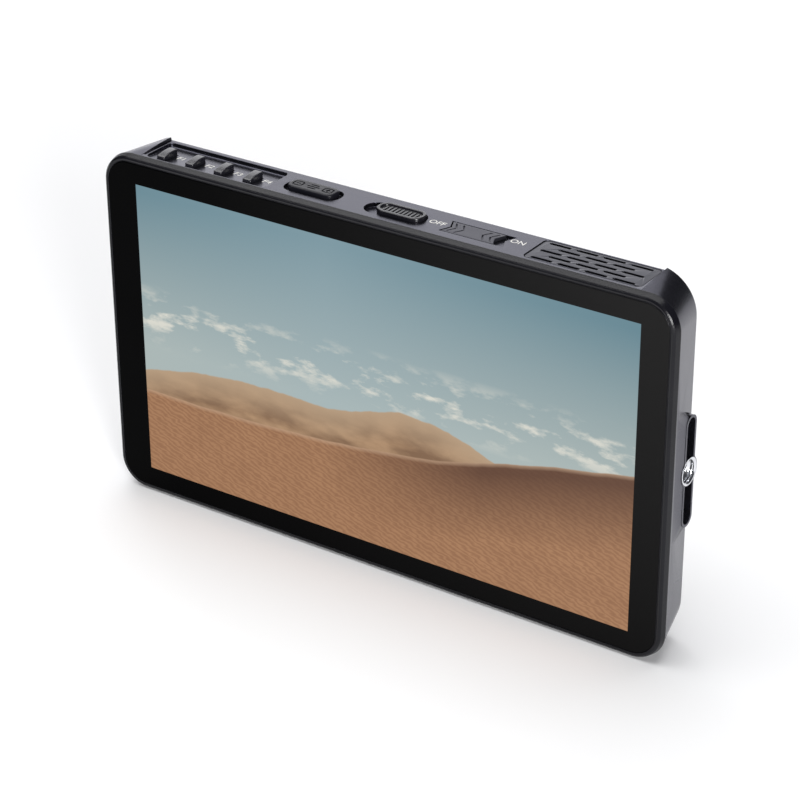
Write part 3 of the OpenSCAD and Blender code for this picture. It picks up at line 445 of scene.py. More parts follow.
class Graph:
    """A shader tree that nodes are added to, each input with its value or its link."""

    def __init__(self, tree: bpy.types.NodeTree) -> None:
        """Works on the given tree."""
        self.tree = tree

    def feed(self, node: bpy.types.Node, inputs: dict[str | int, Value]) -> None:
        """Gives a node's inputs their values and links; a colour gets full alpha.

        Args:
            node: The node.
            inputs: A number, a colour or another node's output, by the input's name or number.
        """
        for key, value in inputs.items():
            if isinstance(value, bpy.types.NodeSocket):
                self.tree.links.new(value, node.inputs[key])
            else:
                node.inputs[key].default_value = (*value, 1) if isinstance(value, tuple) else value

    def add(self, kind: str, inputs: dict[str | int, Value] | None = None, **settings: object
            ) -> bpy.types.Node:
        """Adds a node.

        Args:
            kind: Its type's name after "ShaderNode".
            inputs: Values and links, as feed takes them.
            **settings: The node's own settings.

        Returns:
            The node.
        """
        node = self.tree.nodes.new("ShaderNode" + kind)
        for key, value in settings.items():
            setattr(node, key, value)
        self.feed(node, inputs or {})
        return node

    def math(self, kind: str, *terms: Value, clamp: bool = False) -> bpy.types.NodeSocket:
        """One sum of up to three terms, held between 0 and 1 where asked."""
        return self.add("Math", dict(enumerate(terms)), operation=kind, use_clamp=clamp).outputs[0]

    def mix(self, mask: Value, a: Value, b: Value) -> bpy.types.NodeSocket:
        """Two colours by a mask: the first where it is 0, the second where it is 1."""
        return self.add("Mix", {"Factor": mask, "A": a, "B": b}, data_type="RGBA").outputs["Result"]

    def climb(self, value: Value, start: float, gain: float) -> bpy.types.NodeSocket:
        """The value less a start, times a gain, held between 0 and 1."""
        return self.math("MULTIPLY", self.math("SUBTRACT", value, start), gain, clamp=True)

    def fall(self, value: Value, top: float, gain: float) -> bpy.types.NodeSocket:
        """A top less the value times a gain, held between 0 and 1."""
        return self.math("SUBTRACT", top, self.math("MULTIPLY", value, gain), clamp=True)

    def away(self, value: Value, centre: float) -> bpy.types.NodeSocket:
        """How far the value lies from a centre, without its sign."""
        return self.math("ABSOLUTE", self.math("SUBTRACT", value, centre))


def new_material(name: str) -> tuple[bpy.types.Material, Graph, bpy.types.Node]:
    """Makes a material with nodes.

    Args:
        name: Its name.

    Returns:
        The material, the graph of its nodes, and its shader.
    """
    material = bpy.data.materials.new(name)
    material.use_nodes = True
    return material, Graph(material.node_tree), material.node_tree.nodes["Principled BSDF"]


class Kind(Enum):
    """What a group's socket carries."""

    NUMBER = "NodeSocketFloat"
    COLOR = "NodeSocketColor"
    VECTOR = "NodeSocketVector"


class Effects:
    """Shader groups that more than one finish or ridge uses, built once."""

    def __init__(self) -> None:
        """Builds the groups."""
        self.grain = self._grain()
        self.handling = self._handling()
        self.ridge = self._ridge()

    @staticmethod
    def _group(name: str, inputs: dict[str, float | Color | None], outputs: dict[str, Kind]
               ) -> tuple[Graph, bpy.types.bpy_prop_collection, bpy.types.Node]:
        """An empty group with named sockets.

        Args:
            name: The group's name.
            inputs: Each input's first value: a number, a colour, or None for a vector.
            outputs: What each output carries.

        Returns:
            The graph, the inputs by name, and the node that takes the outputs.
        """
        tree = bpy.data.node_groups.new(name, "ShaderNodeTree")
        for key, value in inputs.items():
            if value is None:
                tree.interface.new_socket(key, in_out="INPUT", socket_type=Kind.VECTOR.value)
            else:
                kind, first = (Kind.COLOR, (*value, 1)) if isinstance(value, tuple) else (Kind.NUMBER, value)
                socket = tree.interface.new_socket(key, in_out="INPUT", socket_type=kind.value)
                socket.default_value = first
        for key, kind in outputs.items():
            tree.interface.new_socket(key, in_out="OUTPUT", socket_type=kind.value)
        return Graph(tree), tree.nodes.new("NodeGroupInput").outputs, tree.nodes.new("NodeGroupOutput")

    def _grain(self) -> bpy.types.NodeTree:
        """Fine moulded grain: a cellular pattern's distance times 0.6, plus noise, as a height.

        Returns:
            The group.
        """
        graph, given, end = self._group("fine_grain", {"Vector": None, "Scale": 3000.0},
                                        {"Height": Kind.NUMBER})
        where = {"Vector": given["Vector"], "Scale": given["Scale"]}
        cells = graph.add("TexVoronoi", where)
        noise = graph.add("TexNoise", {**where, "Detail": 3.0})
        height = graph.math("MULTIPLY_ADD", cells.outputs["Distance"], 0.6, noise.outputs["Fac"])
        graph.feed(end, {"Height": height})
        return graph.tree

    def _handling(self) -> bpy.types.NodeTree:
        """Marks of handling: broad soft noise that shifts colour and roughness a little.

        Returns:
            The group.
        """
        black = (0.0, 0.0, 0.0)
        graph, given, end = self._group(
            "handling",
            {"Vector": None, "Color": black, "Worn": black, "Roughness": 0.4, "Spread": 0.1, "Scale": 60.0},
            {"Color": Kind.COLOR, "Roughness": Kind.NUMBER})
        noise = graph.add("TexNoise", {"Vector": given["Vector"], "Scale": given["Scale"], "Detail": 5.0})
        worn = graph.add("MapRange", {"Value": noise.outputs["Fac"], "From Min": 0.35, "From Max": 0.75}
                         ).outputs["Result"]
        graph.feed(end, {
            "Color": graph.mix(worn, given["Color"], given["Worn"]),
            "Roughness": graph.math("MULTIPLY_ADD", worn, given["Spread"], given["Roughness"])})
        return graph.tree

    def _ridge(self) -> bpy.types.NodeTree:
        """A skyline: one where the height is below a level plus noise along the width.

        Returns:
            The group, whose outputs are the mask and how far below the line a place lies.
        """
        graph, given, end = self._group(
            "skyline",
            {"Across": 0.0, "Up": 0.0, "Level": 0.5, "Swing": 0.1, "Scale": 3.0, "Softness": 0.004},
            {"Mask": Kind.NUMBER, "Below": Kind.NUMBER})
        noise = graph.add("TexNoise", {"W": given["Across"], "Scale": given["Scale"], "Detail": 3.0},
                          noise_dimensions="1D")
        line = graph.math("MULTIPLY_ADD", noise.outputs["Fac"], given["Swing"], given["Level"])
        gap = graph.math("SUBTRACT", line, given["Up"])
        graph.feed(end, {"Mask": graph.math("DIVIDE", gap, given["Softness"], clamp=True), "Below": gap})
        return graph.tree


@dataclass(frozen=True)
class Finish:
    """One surface finish: colour, gloss and the grain that its mould or paint leaves."""

    name: str
    color: Color
    worn: Color
    roughness: float
    spread: float
    metallic: float
    specular: float
    grain_scale: float
    grain_depth: float
    handling_scale: float

    def build(self, effects: Effects) -> bpy.types.Material:
        """Makes the material: grain into the normal, handling into colour and roughness.

        Args:
            effects: The shared shader groups.

        Returns:
            The material.
        """
        material, graph, shader = new_material(self.name)
        place = graph.add("TexCoord").outputs["Object"]
        handling = graph.add("Group", {
            "Vector": place, "Color": self.color, "Worn": self.worn, "Roughness": self.roughness,
            "Spread": self.spread, "Scale": self.handling_scale}, node_tree=effects.handling)
        grain = graph.add("Group", {"Vector": place, "Scale": self.grain_scale}, node_tree=effects.grain)
        bump = graph.add("Bump", {"Distance": self.grain_depth * MM, "Strength": 1.0,
                                  "Height": grain.outputs["Height"]})
        graph.feed(shader, {
            "Base Color": handling.outputs["Color"], "Roughness": handling.outputs["Roughness"],
            "Normal": bump.outputs["Normal"], "Metallic": self.metallic,
            "Specular IOR Level": self.specular})
        material.diffuse_color = (*self.color, 1)
        return material


def srgb(*levels: int) -> Color:
    """A colour from display levels of 0 to 255."""
    r, g, b = (v / 255 / 12.92 if v <= 10 else ((v / 255 + 0.055) / 1.055) ** 2.4 for v in levels)
    return (r, g, b)


def grey(value: float) -> Color:
    """A grey with a slight blue cast."""
    return (value, value * 1.03, value * 1.1)


FINISHES = {row[0]: Finish(*row) for row in (
    ("housing_metal", (0.068, 0.068, 0.086), (0.075, 0.075, 0.094), 0.24, 0.05, 0.95, 0.5, 5200, 0.005, 45),
    ("grille_metal", (0.045, 0.046, 0.056), (0.052, 0.053, 0.064), 0.26, 0.05, 0.93, 0.5, 5200, 0.005, 45),
    ("frame_plastic", (0.004, 0.004, 0.0062), (0.007, 0.007, 0.0098), 0.2, 0.06, 0, 0.25, 3600, 0.014, 80),
    ("key_plastic", (0.012, 0.012, 0.017), (0.017, 0.017, 0.023), 0.22, 0.08, 0, 0.9, 4200, 0.008, 150),
    ("button_plastic", (0.008, 0.008, 0.012), (0.012, 0.012, 0.017), 0.28, 0.08, 0, 0.22, 4200, 0.008, 150),
    ("slide_plastic", (0.008, 0.008, 0.011), (0.012, 0.012, 0.016), 0.22, 0.08, 0, 0.6, 4200, 0.006, 150),
    ("power_plastic", (0.05, 0.05, 0.064), (0.058, 0.058, 0.073), 0.36, 0.08, 0.6, 0.4, 4600, 0.008, 90),
    ("chrome", (0.78, 0.79, 0.82), (0.66, 0.67, 0.7), 0.12, 0.10, 1, 0.5, 1800, 0.002, 300),
    ("label_print", (0.85, 0.84, 0.8), (0.7, 0.69, 0.65), 0.55, 0.1, 0, 0.4, 5000, 0.004, 400),
    ("back_plastic", grey(0.014), grey(0.02), 0.45, 0.12, 0, 0.5, 2600, 0.03, 60),
    ("plate_plastic", grey(0.012), grey(0.016), 0.5, 0.1, 0, 0.45, 2200, 0.03, 90),
    ("latch_plastic", grey(0.03), grey(0.045), 0.38, 0.08, 0, 0.5, 3200, 0.012, 120),
    ("gold_contact", (0.83, 0.6, 0.26), (0.7, 0.48, 0.2), 0.22, 0.15, 1, 0.5, 900, 0.003, 400),
    ("port_steel", (0.55, 0.56, 0.58), (0.42, 0.43, 0.45), 0.28, 0.14, 1, 0.5, 1500, 0.004, 200),
    ("dark_screw", grey(0.05), grey(0.09), 0.32, 0.12, 0.9, 0.5, 1500, 0.004, 300),
    ("sheet_steel", (0.5, 0.51, 0.53), (0.4, 0.41, 0.42), 0.34, 0.14, 1, 0.5, 1200, 0.006, 120),
    ("heat_sink_aluminium", (0.56, 0.57, 0.59), (0.48, 0.49, 0.5), 0.36, 0.1, 1, 0.5, 1400, 0.006, 120),
    ("post_brass", (0.7, 0.5, 0.22), (0.55, 0.38, 0.16), 0.3, 0.1, 1, 0.5, 1400, 0.004, 200),
    ("circuit_board", (0.012, 0.085, 0.04), (0.02, 0.11, 0.055), 0.35, 0.1, 0, 0.5, 900, 0.01, 260),
    ("chip_plastic", grey(0.02), grey(0.028), 0.5, 0.1, 0, 0.4, 2500, 0.01, 200),
    ("tape_black", grey(0.012), grey(0.016), 0.8, 0.1, 0, 0.3, 2000, 0.02, 120),
    ("clear_film", (0.7, 0.75, 0.78), (0.66, 0.7, 0.74), 0.2, 0.1, 0, 0.5, 1000, 0.001, 40),
    ("ribbon_film", (0.45, 0.2, 0.045), (0.38, 0.16, 0.04), 0.32, 0.1, 0, 0.5, 1000, 0.004, 120),
    ("led_strip", (0.8, 0.74, 0.5), (0.7, 0.62, 0.38), 0.4, 0.1, 0, 0.5, 1500, 0.01, 200),
    ("display_cell", (0.02, 0.022, 0.024), (0.03, 0.032, 0.034), 0.2, 0.05, 0, 0.5, 1500, 0.001, 60),
)}


@dataclass(frozen=True)
class Softbox:
    """A rectangular light that faces a point; places in metres, power in watts."""

    name: str
    at: Point
    aim: Point
    size: tuple[float, float]
    power: float
    color: Color = (1.0, 1.0, 1.0)

    def build(self) -> None:
        """Makes the light and turns its face to the point."""
        data = bpy.data.lights.new(self.name, "AREA")
        data.shape = "RECTANGLE"
        data.size, data.size_y = self.size
        data.energy = self.power
        data.color = self.color
        light = into_scene(self.name, data)
        light.location = self.at
        light.rotation_euler = (Vector(self.aim) - Vector(self.at)).to_track_quat("-Z", "Y").to_euler()


@dataclass
class Studio:
    """Floor, lights and the camera at the photograph's angle; the floor's measures are in metres."""

    camera_at: Point = (289.51, -430.12, 313.0)
    turn_deg: float = 33.954
    tilt_deg: float = 27.833
    roll_deg: float = -0.253
    focal_share: float = 2566.64 / 800
    sensor: float = 36.0
    clip: tuple[float, float] = (0.01, 50.0)
    floor_r: float = 6.0
    floor_flat_r: float = 4.0
    floor_rings: int = 24
    floor_around: int = 64
    sky_color: Color = (0.9, 0.92, 1.0)
    sky_strength: float = 0.065
    lights: tuple[Softbox, ...] = (
        Softbox("overhead", (-0.4, 0.0, 1.9), (0, 0, 0), (2.2, 2.2), 42),
        Softbox("back_left", (-0.72, 1.02, 0.5), (0, 0, 0.08), (1.15, 0.88), 5.3, (0.97, 0.97, 1)),
        Softbox("edge_glint", (0.88, -0.8, 0.38), (0.07, 0, 0.08), (0.24, 0.54), 12))

    def camera(self) -> None:
        """A camera whose axes are worked out from its turn, tilt and roll."""
        a, e, k = (math.radians(x) for x in (self.turn_deg, self.tilt_deg, self.roll_deg))
        look = Vector((-math.sin(a) * math.cos(e), math.cos(a) * math.cos(e), -math.sin(e)))
        right = Vector((math.cos(a), math.sin(a), 0))
        level = math.cos(k) * right + math.sin(k) * right.cross(look)
        upright = level.cross(look)
        data = bpy.data.cameras.new("photo_camera")
        data.sensor_width = self.sensor
        data.lens = self.focal_share * self.sensor
        data.clip_start, data.clip_end = self.clip
        camera = into_scene("photo_camera", data)
        turn = Matrix((level, upright, -look)).transposed().to_4x4()
        camera.matrix_world = Matrix.Translation(Vector(self.camera_at) * MM) @ turn
        bpy.context.scene.camera = camera

    def floor(self) -> None:
        """A pale dish, flat where the monitor stands: z is a tenth of (r less the flat's radius) squared."""
        rings, around = self.floor_rings, self.floor_around
        r = np.linspace(0, 1, rings)[:, None] ** 1.5 * self.floor_r
        t = np.linspace(0, 2 * np.pi, around + 1)[None, :-1]
        z = np.maximum(r - self.floor_flat_r, 0) ** 2 * 0.1 + 0 * t
        points = np.stack([r * np.cos(t), r * np.sin(t), z], axis=2).reshape(-1, 3)
        index = np.arange(rings * around).reshape(rings, around)
        low, high = index[:-1], index[1:]
        quads = np.stack([low, np.roll(low, -1, 1), np.roll(high, -1, 1), high], 2)
        mesh = bpy.data.meshes.new("studio_floor")
        mesh.from_pydata(points, [], quads.reshape(-1, 4).tolist())
        mesh.shade_smooth()
        material, graph, shader = new_material("studio_floor")
        graph.feed(shader, {"Base Color": (0.95, 0.95, 0.955), "Roughness": 0.9, "Specular IOR Level": 0.1})
        mesh.materials.append(material)
        into_scene("studio_floor", mesh)

    def build(self) -> None:
        """Sets the whole studio up."""
        scene = bpy.context.scene
        scene.view_settings.view_transform = "Standard"
        scene.view_settings.look = "None"
        scene.world = bpy.data.worlds.new("studio")
        scene.world.use_nodes = True
        sky = scene.world.node_tree.nodes["Background"]
        Graph(scene.world.node_tree).feed(sky, {"Color": self.sky_color, "Strength": self.sky_strength})
        self.camera()
        self.floor()
        for light in self.lights:
            light.build()


@dataclass
class Dresser:
    """Materials by name, and the step that dresses and hangs each piece."""

    effects: Effects = field(default_factory=Effects)
    made: dict[str, bpy.types.Material] = field(default_factory=dict)

    def material(self, name: str) -> bpy.types.Material:
        """The material of that finish, built at first use.

        Args:
            name: The finish's name.

        Returns:
            The material.
        """
        if name not in self.made:
            self.made[name] = FINISHES[name].build(self.effects)
        return self.made[name]

    def dress(self, piece: bpy.types.Object, finish: str | bpy.types.Material, body: str,
              node: str | None = None) -> None:
        """Gives a piece its material, its body, and the node that it stands for.

        Args:
            piece: The piece.
            finish: A finish's name, or a material.
            body: The body that it rides on.
            node: The CAD node that it replaces, if any.
        """
        piece.data.materials.clear()
        piece.data.materials.append(self.material(finish) if isinstance(finish, str) else finish)
        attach(piece, body)
        if node:
            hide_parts(node)
        log.info("%s: %d faces on %s", piece.name, len(piece.data.polygons), body)

    def dress_node(self, node: str, finish: str, soften: float) -> None:
        """Gives a CAD node a material and, where asked, softened edges.

        Args:
            node: The node's name.
            finish: The finish's name.
            soften: The width of its edges' bevel in mm, 0 for none.
        """
        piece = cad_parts[node]
        piece.data.materials.clear()
        piece.data.materials.append(self.material(finish))
        if soften:
            weld = piece.modifiers.new("weld", "WELD")
            weld.merge_threshold = JOIN
            bevel = piece.modifiers.new("soft_edges", "BEVEL")
            bevel.width = soften * MM
            bevel.segments = 2
            bevel.limit_method = "ANGLE"
            bevel.angle_limit = math.radians(40)


@dataclass
class FrontFrame:
    """The black frame and the glass that drops into it."""

    outline: Oblong = Oblong(150.7, 87.9, 7.5, 0, MID_Z, 14)
    opening: Oblong = Oblong(139.4, 80.4, 1.0, 0.7, MID_Z, 14)
    facet: float = 0.45
    thickness: float = 2.05
    rim: float = 1.525
    rim_soft: float = 0.12
    glass_gap: float = 0.1
    glass_t: float = 1.1
    glass_round: float = 0.22
    glass_arris: float = 0.08
    ledge_y: float = 1.25
    skirt_in: float = 2.6
    skirt_l: float = 0.9

    def frame(self) -> Skin:
        """A closed profile of (growth, depth) carried round the outline: rim, facet, skirt, ledge.

        Returns:
            The surface.
        """
        soft, back, skirt_end = self.rim_soft, self.thickness, self.thickness + self.skirt_l
        start, end = -self.facet, self.thickness - 0.2
        profile = [(-self.rim, self.ledge_y)]
        profile += [(-self.rim + soft - a, b) for a, b in quarter(soft)[::-1, ::-1]]
        profile += [(start - 0.52, 0.0), (start - 0.45, 0.014), (start - 0.37, 0.06), (start - 0.03, 0.36),
                    (start + 0.04, 0.44), (start + 0.09, 0.56), (-0.06, end - 0.25), (-0.015, end - 0.08),
                    (0.0, end), (0.0, back - 0.1), (-0.03, back - 0.03), (-0.1, back),
                    (-self.skirt_in, back), (-self.skirt_in, skirt_end)]
        rings = [Facing.BACK.place(self.outline.loop(g), d) for g, d in profile]
        rings += [Facing.BACK.place(self.opening.loop(), d) for d in (skirt_end, self.ledge_y)]
        skin = Skin()
        skin.rings(rings, closed=True)
        return skin

    def glass(self) -> Skin:
        """A flat plate whose front edge is ground to a small round.

        Returns:
            The surface.
        """
        side = -self.rim - self.glass_gap
        ground = [(side - a, b) for a, b in quarter(self.glass_round, 5)]
        arris = [(side, self.glass_t - self.glass_arris), (side - self.glass_arris, self.glass_t)]
        skin = Skin()
        skin.sweep(Facing.BACK, self.outline, ground + arris)
        return skin

    def build(self, dresser: Dresser, picture: bpy.types.Material) -> None:
        """Makes and dresses frame and glass.

        Args:
            dresser: What dresses them.
            picture: The glass's material.
        """
        dresser.dress(self.frame().build("front_frame_skin"), "frame_plastic", BODY, "front_frame")
        dresser.dress(self.glass().build("cover_glass_plate"), picture, BODY, "cover_glass")


class Canvas(Graph):
    """The screen's graph: how far across and up a place lies, from 0 to 1 over the lit area."""

    def __init__(self, tree: bpy.types.NodeTree, place: bpy.types.NodeSocket, x0: float, z0: float,
                 w: float, h: float) -> None:
        """Works both shares out, and a flat vector that patterns are drawn on.

        Args:
            tree: The material's tree.
            place: The place on the piece, in metres.
            x0: The lit area's left edge, in mm.
            z0: Its lower edge.
            w: Its width.
            h: Its height.
        """
        super().__init__(tree)
        apart = self.add("SeparateXYZ", {0: place}).outputs
        self.across = self.math("DIVIDE", self.math("SUBTRACT", apart["X"], x0 * MM), w * MM)
        self.up = self.math("DIVIDE", self.math("SUBTRACT", apart["Z"], z0 * MM), h * MM)
        self.flat = self.add("CombineXYZ", {0: self.math("MULTIPLY", self.across, 1.78),
                                            1: self.math("MULTIPLY", self.up, 2.6)}).outputs[0]


@dataclass
class Picture:
    """The lit screen's own picture, worked out from the place on the glass, and its black border."""

    x0: float = 0.7 - 66.4
    z0: float = MID_Z - 37.35
    w: float = 132.8
    h: float = 74.7
    emission: float = 0.98
    edge_gain: float = 1500.0
    far_ridge: tuple[Place, ...] = (
        (0, 0.35), (0.2, 0.415), (0.42, 0.425), (0.58, 0.48), (0.78, 0.39), (1, 0.3))
    near_ridge: tuple[Place, ...] = ((0, 0.285), (0.28, 0.295), (0.6, 0.355), (0.82, 0.45), (1, 0.515))

    @staticmethod
    def sky(canvas: Canvas) -> bpy.types.NodeSocket:
        """A sky that pales towards the ground, brighter left of the middle, with a band of clouds.

        Args:
            canvas: The screen's graph.

        Returns:
            Its colour.
        """
        clouds = canvas.add("TexNoise", {"Vector": canvas.flat, "Scale": 5.6, "Detail": 8.0,
                                         "Roughness": 0.6})
        puff = canvas.climb(clouds.outputs["Fac"], 0.515, 9.0)
        band = canvas.fall(canvas.away(canvas.up, 0.56), 1.25, 11.0)
        glow = canvas.fall(canvas.away(canvas.across, 0.4), 1.0, 1.3)
        sky = canvas.mix(canvas.climb(canvas.up, 0.45, 1.9), srgb(176, 186, 182), srgb(92, 128, 141))
        sky = canvas.mix(canvas.math("MULTIPLY", glow, 0.45), sky, srgb(158, 180, 188))
        cover = canvas.math("MULTIPLY", canvas.math("MULTIPLY", puff, band), 0.9)
        return canvas.mix(cover, sky, srgb(224, 222, 211))

    @staticmethod
    def skyline(canvas: Canvas, effects: Effects, points: Sequence[Place], swing: float, scale: float,
                softness: float) -> bpy.types.bpy_prop_collection:
        """A smooth ridge through some points, roughened by noise.

        Args:
            canvas: The screen's graph.
            effects: The shared shader groups.
            points: Places across and up that the ridge passes.
            swing: How far the noise lifts it.
            scale: The noise's scale.
            softness: How soft its edge is.

        Returns:
            Its mask, and how far below it a place lies.
        """
        line = canvas.add("FloatCurve", {"Value": canvas.across})
        curve = line.mapping.curves[0]
        for end, at in zip(curve.points, (points[0], points[-1])):
            end.location = at
        for at in points[1:-1]:
            curve.points.new(*at)
        line.mapping.update()
        return canvas.add("Group", {
            "Across": canvas.across, "Up": canvas.up, "Level": line.outputs[0], "Swing": swing,
            "Scale": scale, "Softness": softness}, node_tree=effects.ridge).outputs

    def dunes(self, canvas: Canvas, effects: Effects, sky: bpy.types.NodeSocket) -> bpy.types.NodeSocket:
        """Two ranges of dunes before the sky: folds on the far one, ripples and a lee side on the near.

        Args:
            canvas: The screen's graph.
            effects: The shared shader groups.
            sky: The sky's colour.

        Returns:
            The whole picture's colour.
        """
        far = self.skyline(canvas, effects, self.far_ridge, 0.02, 14.0, 0.005)
        near = self.skyline(canvas, effects, self.near_ridge, 0.012, 9.0, 0.004)
        grain = canvas.add("TexNoise", {"Vector": canvas.flat, "Scale": 6.0, "Detail": 6.0}).outputs["Fac"]
        ripple = canvas.add("TexWave", {"Vector": canvas.flat, "Scale": 15.0, "Distortion": 7.0,
                                        "Detail": 3.0, "Detail Scale": 1.6}, bands_direction="DIAGONAL")
        hills = canvas.mix(canvas.climb(grain, 0.4, 4.0), srgb(132, 103, 80), srgb(176, 143, 112))
        hills = canvas.mix(canvas.climb(far["Below"], 0.0, 9.0), srgb(184, 158, 130), hills)
        sand = canvas.mix(ripple.outputs["Fac"], srgb(154, 113, 84), srgb(173, 130, 97))
        sand = canvas.mix(canvas.climb(grain, 0.3, 0.6), sand, srgb(140, 100, 74))
        lee = canvas.math("MULTIPLY", canvas.climb(canvas.across, 0.38, 3.0),
                          canvas.fall(near["Below"], 1.15, 4.2))
        sand = canvas.mix(canvas.math("MULTIPLY", lee, 0.9), sand, srgb(92, 64, 51))
        crest = canvas.math("MULTIPLY", canvas.fall(near["Below"], 1.0, 60.0), 0.7)
        sand = canvas.mix(crest, sand, srgb(198, 166, 138))
        return canvas.mix(near["Mask"], canvas.mix(far["Mask"], sky, hills), sand)

    def inside(self, canvas: Canvas, share: bpy.types.NodeSocket) -> bpy.types.NodeSocket:
        """One where a share lies between 0 and 1, and nothing outside."""
        return canvas.math("MULTIPLY", canvas.climb(share, 0.0, self.edge_gain),
                           canvas.fall(share, self.edge_gain, self.edge_gain))

    def build(self, effects: Effects) -> bpy.types.Material:
        """The picture as light from behind the glass, and a painted reflection in the border's base colour
        that grows to the right and upwards.

        Args:
            effects: The shared shader groups.

        Returns:
            The glass's material.
        """
        material, graph, shader = new_material("printed_glass")
        place = graph.add("TexCoord").outputs["Object"]
        canvas = Canvas(graph.tree, place, self.x0, self.z0, self.w, self.h)
        picture = self.dunes(canvas, effects, self.sky(canvas))
        lit = canvas.math("MULTIPLY", self.inside(canvas, canvas.across), self.inside(canvas, canvas.up))
        smudge = canvas.add("Group", {
            "Vector": place, "Color": (0.0008, 0.0008, 0.0009), "Worn": (0.0014, 0.0014, 0.0015),
            "Roughness": 0.05, "Spread": 0.05, "Scale": 30.0}, node_tree=effects.handling)
        # Painted reflection: the black border's base colour goes from the smudge colour to a faint grey
        # (0.0155) towards the right and the top. It stands in for light mirrored in the glass.
        to_right = canvas.math("POWER", canvas.across, 1.4, clamp=True)
        upwards = canvas.math("MULTIPLY_ADD", canvas.up, 0.6, 0.4)
        painted_reflection = canvas.math("MULTIPLY", to_right, upwards, clamp=True)
        canvas.feed(shader, {
            "Emission Color": canvas.mix(lit, (0.0, 0.0, 0.0), picture), "Emission Strength": self.emission,
            "Base Color": canvas.mix(painted_reflection, smudge.outputs["Color"], (0.0155, 0.0152, 0.0152)),
            "Roughness": smudge.outputs["Roughness"], "Specular IOR Level": 0.018})
        return material


@dataclass(frozen=True)
class Well:
    """A recess in the key strip with an opening through its floor."""

    outline: Outline
    depth: float
    hole: Oblong


